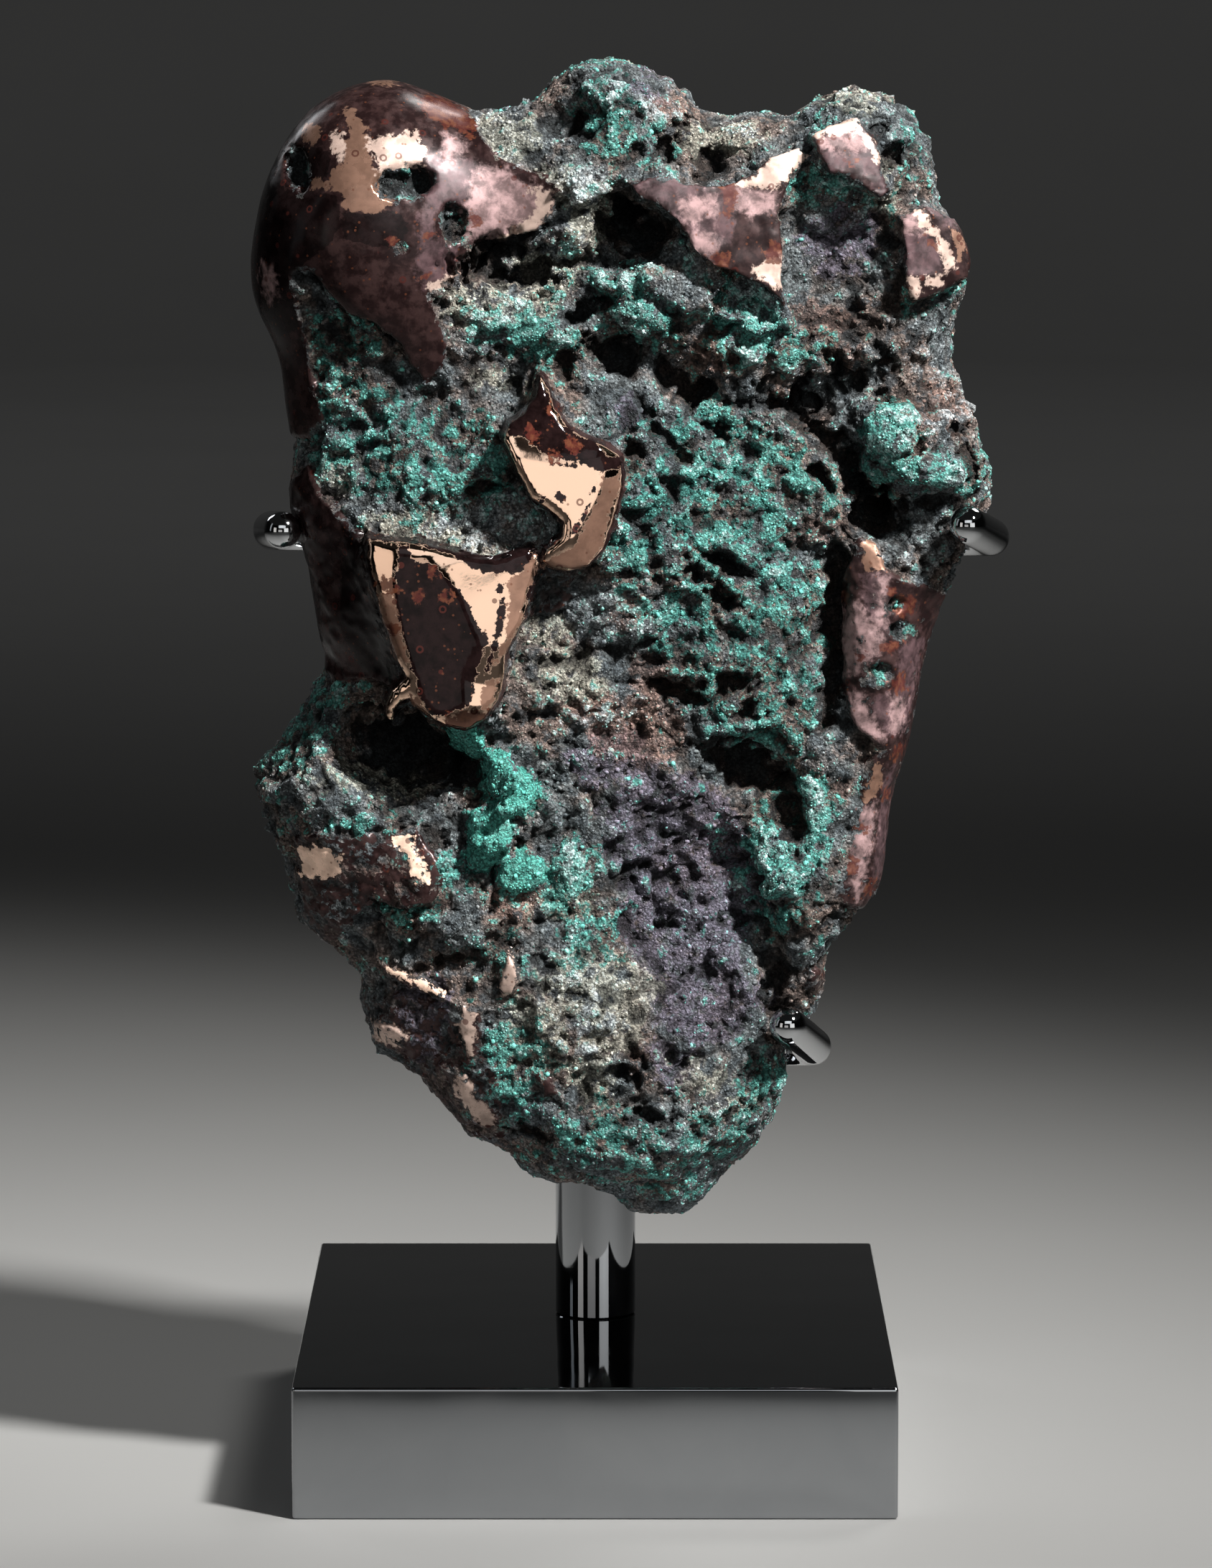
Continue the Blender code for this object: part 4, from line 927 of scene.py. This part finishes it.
def makeBody(material):
    print("nugget body")
    body = evenNugget()
    bm = bmesh.new()
    bm.from_mesh(body.data)
    smoothed(bm, bm.verts, nugget["smoothing"])
    bm.normal_update()
    splitFaces(bm, [face for face in bm.faces if face.normal.y < nugget["frontFacing"]])
    smoothed(bm, bm.verts, 1)
    centres = np.array([face.calc_center_median() for face in bm.faces]) / mm
    bare = bareField(*centres.T)
    nearEdge = (np.abs(bare) < nugget["borderBand"]) & (centres[:, 1] < -80.0)
    splitFaces(bm, [face for face, near in zip(bm.faces, nearEdge) if near])
    bm.to_mesh(body.data)
    bm.free()
    points = readPoints(body.data) / mm
    normals = readPoints(body.data, "vertex_normals", "vector")
    bare = bareField(*points.T)
    moved, high = sculptBody(points, normals, bare)
    body.data.vertices.foreach_set("co", (moved * mm).ravel())
    body.data.update()

    bm = bmesh.new()
    bm.from_mesh(body.data)
    bmesh.ops.triangulate(bm, faces=bm.faces)
    bm.to_mesh(body.data)
    bm.free()
    fields = colourFields(points)
    fields["bare"] = bare
    fields["high"] = high
    fields["tone"] = np.full(len(points), 0.3)
    fields["loose"] = np.zeros(len(points))
    storeFields(body.data, fields)
    body.data.shade_smooth()
    body.data.materials.append(material)
    print("  triangles", len(body.data.polygons))
    standFor(body, "native_copper", "copper_nugget")
    return body, fields


grains = {                    # side, how many, smallest and largest radius, spacing, facets, seed
    "frontGrit": dict(side="front", count=42000, size=(0.30, 0.60), spacing=0.8, facets=8, seed=11),
    "frontNodule": dict(side="front", count=5000, size=(0.6, 1.1), spacing=2.4, facets=20, seed=12),
    "backGrit": dict(side="back", count=12000, size=(0.8, 1.6), spacing=1.7, facets=8, seed=13),
}
pieceTriangles = 180000
grainVariants = 7


# A few dented grains to copy from
def grainShapes(facets, seed):
    random = np.random.default_rng(seed)
    shapes = []
    for index in range(grainVariants):
        bm = bmesh.new()
        if facets == 8:
            bmesh.ops.create_uvsphere(bm, u_segments=4, v_segments=2, radius=1.0)
        else:
            bmesh.ops.create_icosphere(bm, subdivisions=1, radius=1.0)
        bmesh.ops.triangulate(bm, faces=bm.faces)
        corners = np.array([vert.co for vert in bm.verts]) * random.uniform(0.72, 1.2, (len(bm.verts), 1))
        triangles = np.array([[vert.index for vert in face.verts] for face in bm.faces])
        bm.free()
        shapes.append((corners, triangles))
    return shapes


# Seats for grains on the body, no two closer than the spacing
def scatter(body, fields, weight, count, spacing, seed):
    random = np.random.default_rng(seed)
    mesh = body.data
    points = readPoints(mesh) / mm
    normals = readPoints(mesh, "vertex_normals", "vector")
    corners = np.empty(len(mesh.polygons) * 3, dtype=np.int64)
    mesh.loops.foreach_get("vertex_index", corners)
    corners = corners.reshape(-1, 3)
    a, b, c = (points[corners[:, index]] for index in range(3))
    area = np.linalg.norm(np.cross(b - a, c - a), axis=1) / 2
    share = area * weight[corners].mean(axis=1)
    chosen = random.choice(len(corners), size=count * 2, p=share / share.sum())
    mix = random.random((count * 2, 3)) ** 0.7 + 0.05
    mix /= mix.sum(axis=1, keepdims=True)
    seats = np.einsum("ij,ijk->ik", mix, points[corners[chosen]])
    tree = kdtree.KDTree(len(seats))
    for index, seat in enumerate(seats):
        tree.insert(seat, index)
    tree.balance()
    kept, dropped = [], np.zeros(len(seats), dtype=bool)
    for index, seat in enumerate(seats):
        if dropped[index]:
            continue
        kept.append(index)
        for place, other, distance in tree.find_range(seat, spacing):
            dropped[other] = True
        if len(kept) == count:
            break
    kept = np.array(kept)
    up = np.einsum("ij,ijk->ik", mix[kept], normals[corners[chosen[kept]]])
    values = {name: np.einsum("ij,ij->i", mix[kept], field[corners[chosen[kept]]]) for name, field in fields.items()}
    return seats[kept], up, values


# One joined mesh of loose-looking grains, each turned and squashed its own way
def makeGrains(name, seats, up, values, sort, material, seed):
    random = np.random.default_rng(seed)
    shapes = grainShapes(sort["facets"], seed)
    number = len(seats)
    small, large = sort["size"]
    radius = small + (large - small) * random.random(number) ** 1.6
    stretch = random.uniform(0.65, 1.2, (number, 3)) * radius[:, None]
    spin = random.normal(size=(number, 4))
    spin /= np.linalg.norm(spin, axis=1, keepdims=True)
    turn = np.array([Quaternion(quarter).to_matrix() for quarter in spin])
    corners = np.stack([shapes[index % len(shapes)][0] for index in range(number)])
    centre = seats + up * (radius * random.uniform(-0.35, 0.2, number))[:, None]
    outward = np.einsum("nij,nkj->nki", turn, corners * stretch[:, None, :])
    outward -= 0.4 * np.einsum("nki,ni->nk", outward, up)[:, :, None] * up[:, None, :]
    places = centre[:, None, :] + outward
    perGrain = corners.shape[1]
    triangles = np.concatenate([shapes[index % len(shapes)][1] + index * perGrain for index in range(number)])
    mesh = bpy.data.meshes.new(name)
    mesh.vertices.add(number * perGrain)
    mesh.vertices.foreach_set("co", (places * mm).ravel())
    mesh.loops.add(triangles.size)
    mesh.loops.foreach_set("vertex_index", triangles.ravel())
    mesh.polygons.add(len(triangles))
    mesh.polygons.foreach_set("loop_start", np.arange(0, triangles.size, 3))
    mesh.update(calc_edges=True)
    fields = {key: np.repeat(field, perGrain) for key, field in values.items()}
    fields["tone"] = np.repeat(random.random(number), perGrain)
    fields["loose"] = np.ones(number * perGrain)
    storeFields(mesh, fields)
    piece = newObject(name, mesh, material)
    standFor(piece, "native_copper")
    return piece


def makeAllGrains(body, fields, material):
    print("crust grains")
    points = readPoints(body.data) / mm
    crust = 1.0 - smoothStep(-1.6, -0.4, fields["bare"])
    crust *= 0.25 + smoothStep(0.25, 0.6, fields["high"])
    crust *= 0.45 + smoothStep(-6.0, 5.0, fields["teal"])
    crust *= 0.35 + smoothStep(-0.3, 0.2, noiseField(points, 9.0, 31, 2))
    front = frontShare(points[:, 1] - 6.0)
    for name, sort in grains.items():
        weight = crust * (front if sort["side"] == "front" else 1.0 - front)
        seats, up, values = scatter(body, fields, weight, sort["count"], sort["spacing"], sort["seed"])
        pieces = math.ceil(len(seats) * sort["facets"] / pieceTriangles)
        order = np.argsort(-seats[:, 2])
        print("  ", name, len(seats), "grains in", pieces, "pieces")
        for number, part in enumerate(np.array_split(order, pieces)):
            some = {key: field[part] for key, field in values.items()}
            makeGrains(name + str(number + 1), seats[part], up[part], some, sort, material, sort["seed"] * 10 + number)


# Adds noises, each (value, millimetres of swing), to a distance field
def ragged(tree, field, *noises):
    for value, swing in noises:
        field = maths(tree, "ADD", field, maths(tree, "MULTIPLY", maths(tree, "SUBTRACT", value, 0.5), swing * 5))
    return field


# Grey, brown, plum and cream ore with green patches that thicken inside the teal fields
def crustColour(tree, coarse, middle, crag, small, fine):
    tone, high = attribute(tree, "tone"), attribute(tree, "high")
    colour = mixed(tree, spread(tree, coarse, 0.42, 0.58), crustTones["grey"], crustTones["brown"])
    colour = mixed(tree, spread(tree, middle, 0.48, 0.40, 0.0, 0.8), colour, crustTones["slate"])
    loose = maths(tree, "MULTIPLY", maths(tree, "SUBTRACT", tone, 0.5), 0.08)
    mottle = maths(tree, "ADD", maths(tree, "MULTIPLY", crag, 0.45), maths(tree, "MULTIPLY", small, 0.25))
    mottle = maths(tree, "ADD", maths(tree, "ADD", mottle, maths(tree, "MULTIPLY", middle, 0.45)), loose)
    mottle = maths(tree, "SUBTRACT", mottle, 0.075)
    for name, swing, full in (("plum", 5.0, 0.85), ("rust", 4.0, 0.6), ("cream", 4.0, 0.65)):
        share = spread(tree, ragged(tree, attribute(tree, name), (coarse, swing)), -4.0, 6.0, -0.13, 0.07)
        cover = spread(tree, maths(tree, "ADD", mottle, share), 0.46, 0.54, 0.0, full)
        colour = mixed(tree, cover, colour, crustTones[name])
    lift = maths(tree, "MULTIPLY", maths(tree, "SUBTRACT", high, 0.5), 0.14)
    share = spread(tree, ragged(tree, attribute(tree, "teal"), (coarse, 5.0)), -8.0, 6.0, -0.065, 0.04)
    cover = maths(tree, "ADD", maths(tree, "ADD", mottle, share), lift)
    grained = maths(tree, "ADD", high, maths(tree, "SUBTRACT", small, 0.5))
    green = mixed(tree, spread(tree, grained, 0.25, 0.65), crustTones["deepTeal"], crustTones["teal"])
    green = mixed(tree, spread(tree, grained, 0.62, 0.95), green, crustTones["paleTeal"])
    blob = spread(tree, ragged(tree, attribute(tree, "blob"), (middle, 1.5), (small, 1.0)), -0.4, 0.4)
    green = mixed(tree, maths(tree, "MULTIPLY", blob, 0.8), green, crustTones["blob"])
    cover = maths(tree, "ADD", cover, maths(tree, "MULTIPLY", blob, 0.12))
    colour = mixed(tree, spread(tree, cover, 0.47, 0.54, 0.0, 0.93), colour, green)
    frosty = spread(tree, ragged(tree, attribute(tree, "frost"), (coarse, 4.0)), -8.0, 6.0, -0.12, 0.19)
    frosty = maths(tree, "ADD", maths(tree, "ADD", grained, frosty), maths(tree, "SUBTRACT", fine, 0.5))
    frosty = maths(tree, "SUBTRACT", frosty, maths(tree, "MULTIPLY", blob, 0.25))
    colour = mixed(tree, spread(tree, frosty, 0.61, 1.0, 0.0, 0.7), colour, crustTones["frost"])
    # Darker in the low relief and in the bump's hollows: painted shade
    hollowShade = maths(tree, "MULTIPLY", spread(tree, high, 0.10, 0.5, 0.2, 1.0), spread(tree, crag, 0.34, 0.5, 0.4, 1.1))
    shade = spread(tree, tone, 0.0, 1.0, 0.75, 1.25)
    return mixed(tree, 1.0, mixed(tree, 1.0, colour, hollowShade, "MULTIPLY"), shade, "MULTIPLY")


# Bright metal under films of brown, mauve, rosy and tan oxide, with small rings and specks; the dark, rosy and pale
# patches also hold painted shade, a painted dark reflection and painted highlights.
# Also gives how metallic each place is, for the films are duller than the metal.
def copperColour(tree, place, middle, crag, small, fine):
    cloud = maths(tree, "ADD", maths(tree, "MULTIPLY", middle, 0.5), maths(tree, "MULTIPLY", crag, 0.5))
    colour = mixed(tree, spread(tree, cloud, 0.42, 0.60), copperTones["film"], copperTones["filmLight"])
    mirror = ragged(tree, attribute(tree, "mirror"), (middle, 0.25), (small, 0.15))
    metal = spread(tree, mirror, -0.2, 0.2, 0.3, 1.0)
    colour = mixed(tree, spread(tree, mirror, -0.2, 0.2), colour, copperTones["mirror"])
    # dark, rosy and pale patches carry painted shade, painted dark reflection and painted highlights besides oxide
    # colour
    for name, swing, shine, soft in (("dark", 1.0, 0.10, 0.2), ("mauve", 1.8, 0.12, 1.4),
                                     ("rosy", 1.8, 0.18, 2.0), ("tan", 1.2, 0.5, 0.3),
                                     ("pale", 1.8, 0.35, 0.7), ("bright", 1.6, 0.35, 0.25)):
        field = ragged(tree, attribute(tree, name), (crag, swing), (small, swing * 0.7))
        cover = spread(tree, field, -soft, soft)
        low, high = (0.5, 1.6) if name in ("dark", "mauve", "rosy") else (0.8, 1.1)
        tint = mixed(tree, 1.0, copperTones[name], spread(tree, cloud, 0.38, 0.62, low, high), "MULTIPLY")
        colour = mixed(tree, cover, colour, tint)
        metal = maths(tree, "ADD", metal, maths(tree, "MULTIPLY", cover, maths(tree, "SUBTRACT", shine, metal)))
    stain = mixed(tree, spread(tree, small, 0.46, 0.66), copperTones["rust"], copperTones["amber"])
    field = ragged(tree, attribute(tree, "stain"), (crag, 1.6), (small, 1.2))
    colour = mixed(tree, spread(tree, field, -0.5, 0.5, 0.0, 0.9), colour, stain)
    spot = cells(tree, place, 150.0)
    seldom = spread(tree, cells(tree, place, 150.0, output="Color"), 0.58, 0.60)
    away = maths(tree, "ABSOLUTE", maths(tree, "SUBTRACT", spot, 0.15))
    ring = maths(tree, "MULTIPLY", spread(tree, away, 0.06, 0.035), seldom)
    colour = mixed(tree, maths(tree, "MULTIPLY", ring, 0.7), colour, copperTones["rust"])
    speck = maths(tree, "MULTIPLY", spread(tree, cells(tree, place, 520.0), 0.26, 0.18),
                  spread(tree, cells(tree, place, 520.0, output="Color"), 0.70, 0.72))
    return mixed(tree, maths(tree, "MULTIPLY", speck, 0.6), colour, copperTones["amber"]), metal


crustTones = dict(
    grey=(0.160, 0.182, 0.188, 1), brown=(0.220, 0.165, 0.142, 1), slate=(0.070, 0.086, 0.096, 1),
    plum=(0.150, 0.135, 0.180, 1), rust=(0.265, 0.155, 0.125, 1), cream=(0.470, 0.470, 0.390, 1),
    deepTeal=(0.024, 0.160, 0.140, 1), teal=(0.095, 0.340, 0.295, 1), paleTeal=(0.330, 0.540, 0.505, 1),
    blob=(0.075, 0.390, 0.320, 1), frost=(0.520, 0.580, 0.600, 1),
)
# dark also serves painted shade and painted dark reflection; rosy and pale also serve painted highlights
copperTones = dict(
    film=(0.012, 0.006, 0.006, 1), filmLight=(0.036, 0.019, 0.018, 1), dark=(0.006, 0.003, 0.003, 1),
    mauve=(0.050, 0.029, 0.031, 1), rosy=(0.190, 0.124, 0.122, 1), tan=(0.190, 0.108, 0.076, 1),
    pale=(0.460, 0.340, 0.285, 1), bright=(0.800, 0.560, 0.430, 1), mirror=(0.860, 0.585, 0.430, 1),
    rust=(0.055, 0.013, 0.010, 1), amber=(0.100, 0.034, 0.018, 1),
)


# Crust and bare copper in one finish, told apart by the body's distance fields
def nuggetMaterial():
    material, tree, shader = newMaterial("nativeCopper")
    place = objectPlace(tree)
    coarse = grain(tree, place, 42.0, 3.0)
    middle = grain(tree, place, 170.0, 4.0)
    crag = grain(tree, place, 240.0, 6.0, 0.68, 0.4)
    small = grain(tree, place, 420.0, 3.0)
    fine = grain(tree, place, 900.0, 2.0)
    loose = attribute(tree, "loose")
    edge = ragged(tree, attribute(tree, "bare"), (crag, 2.0), (small, 1.1))
    bare = maths(tree, "MULTIPLY", spread(tree, edge, -0.25, 0.35), maths(tree, "SUBTRACT", 1.0, loose))
    crust = crustColour(tree, coarse, middle, crag, small, fine)
    # Darker towards the edges of small cells: painted shade in the gaps between grains
    between = maths(tree, "SUBTRACT", cells(tree, place, 950.0), maths(tree, "MULTIPLY", loose, 0.6))
    crust = mixed(tree, 1.0, crust, spread(tree, between, 0.34, 0.68, 1.0, 0.4), "MULTIPLY")
    copper, metal = copperColour(tree, place, middle, crag, small, fine)
    tree.links.new(mixed(tree, bare, crust, copper), shader.inputs["Base Color"])
    tree.links.new(maths(tree, "MULTIPLY", bare, metal), shader.inputs["Metallic"])
    mirror = spread(tree, attribute(tree, "mirror"), -0.5, 0.5)
    metalRough = spread(tree, mirror, 0.0, 1.0, 0.24, 0.05)
    for name, more in (("mauve", 0.12), ("rosy", 0.16), ("satin", 0.22)):
        satin = spread(tree, attribute(tree, name), -1.0, 1.0, 0.0, more)
        metalRough = maths(tree, "ADD", metalRough, satin)
    cloud = maths(tree, "MULTIPLY", spread(tree, middle, 0.4, 0.65, -0.04, 0.10),
                  maths(tree, "SUBTRACT", 1.0, maths(tree, "MULTIPLY", mirror, 0.85)))
    metalRough = maths(tree, "ADD", metalRough, cloud, clamp=True)
    crustRough = spread(tree, fine, 0.3, 0.7, 0.55, 0.9)
    difference = maths(tree, "SUBTRACT", metalRough, crustRough)
    rough = maths(tree, "ADD", crustRough, maths(tree, "MULTIPLY", difference, bare))
    tree.links.new(rough, shader.inputs["Roughness"])
    shader.inputs["Specular IOR Level"].default_value = 0.2
    knurl = maths(tree, "MULTIPLY", cells(tree, place, 950.0), -0.12)
    crease = maths(tree, "MULTIPLY", maths(tree, "ABSOLUTE", maths(tree, "SUBTRACT", small, 0.5)), -0.5)
    relief = maths(tree, "ADD", maths(tree, "ADD", crag, crease), knurl)
    strength = maths(tree, "MULTIPLY", spread(tree, bare, 0.0, 1.0, 1.0, 0.01), spread(tree, loose, 0.0, 1.0, 1.0, 0.35))
    tree.links.new(bumped(tree, relief, strength, 0.0042), shader.inputs["Normal"])
    return material


def makeNugget():
    material = nuggetMaterial()
    body, fields = makeBody(material)
    makeAllGrains(body, fields, material)


makeCamera()
makeLights()
makeFloor()
makeStand()
makeNugget()
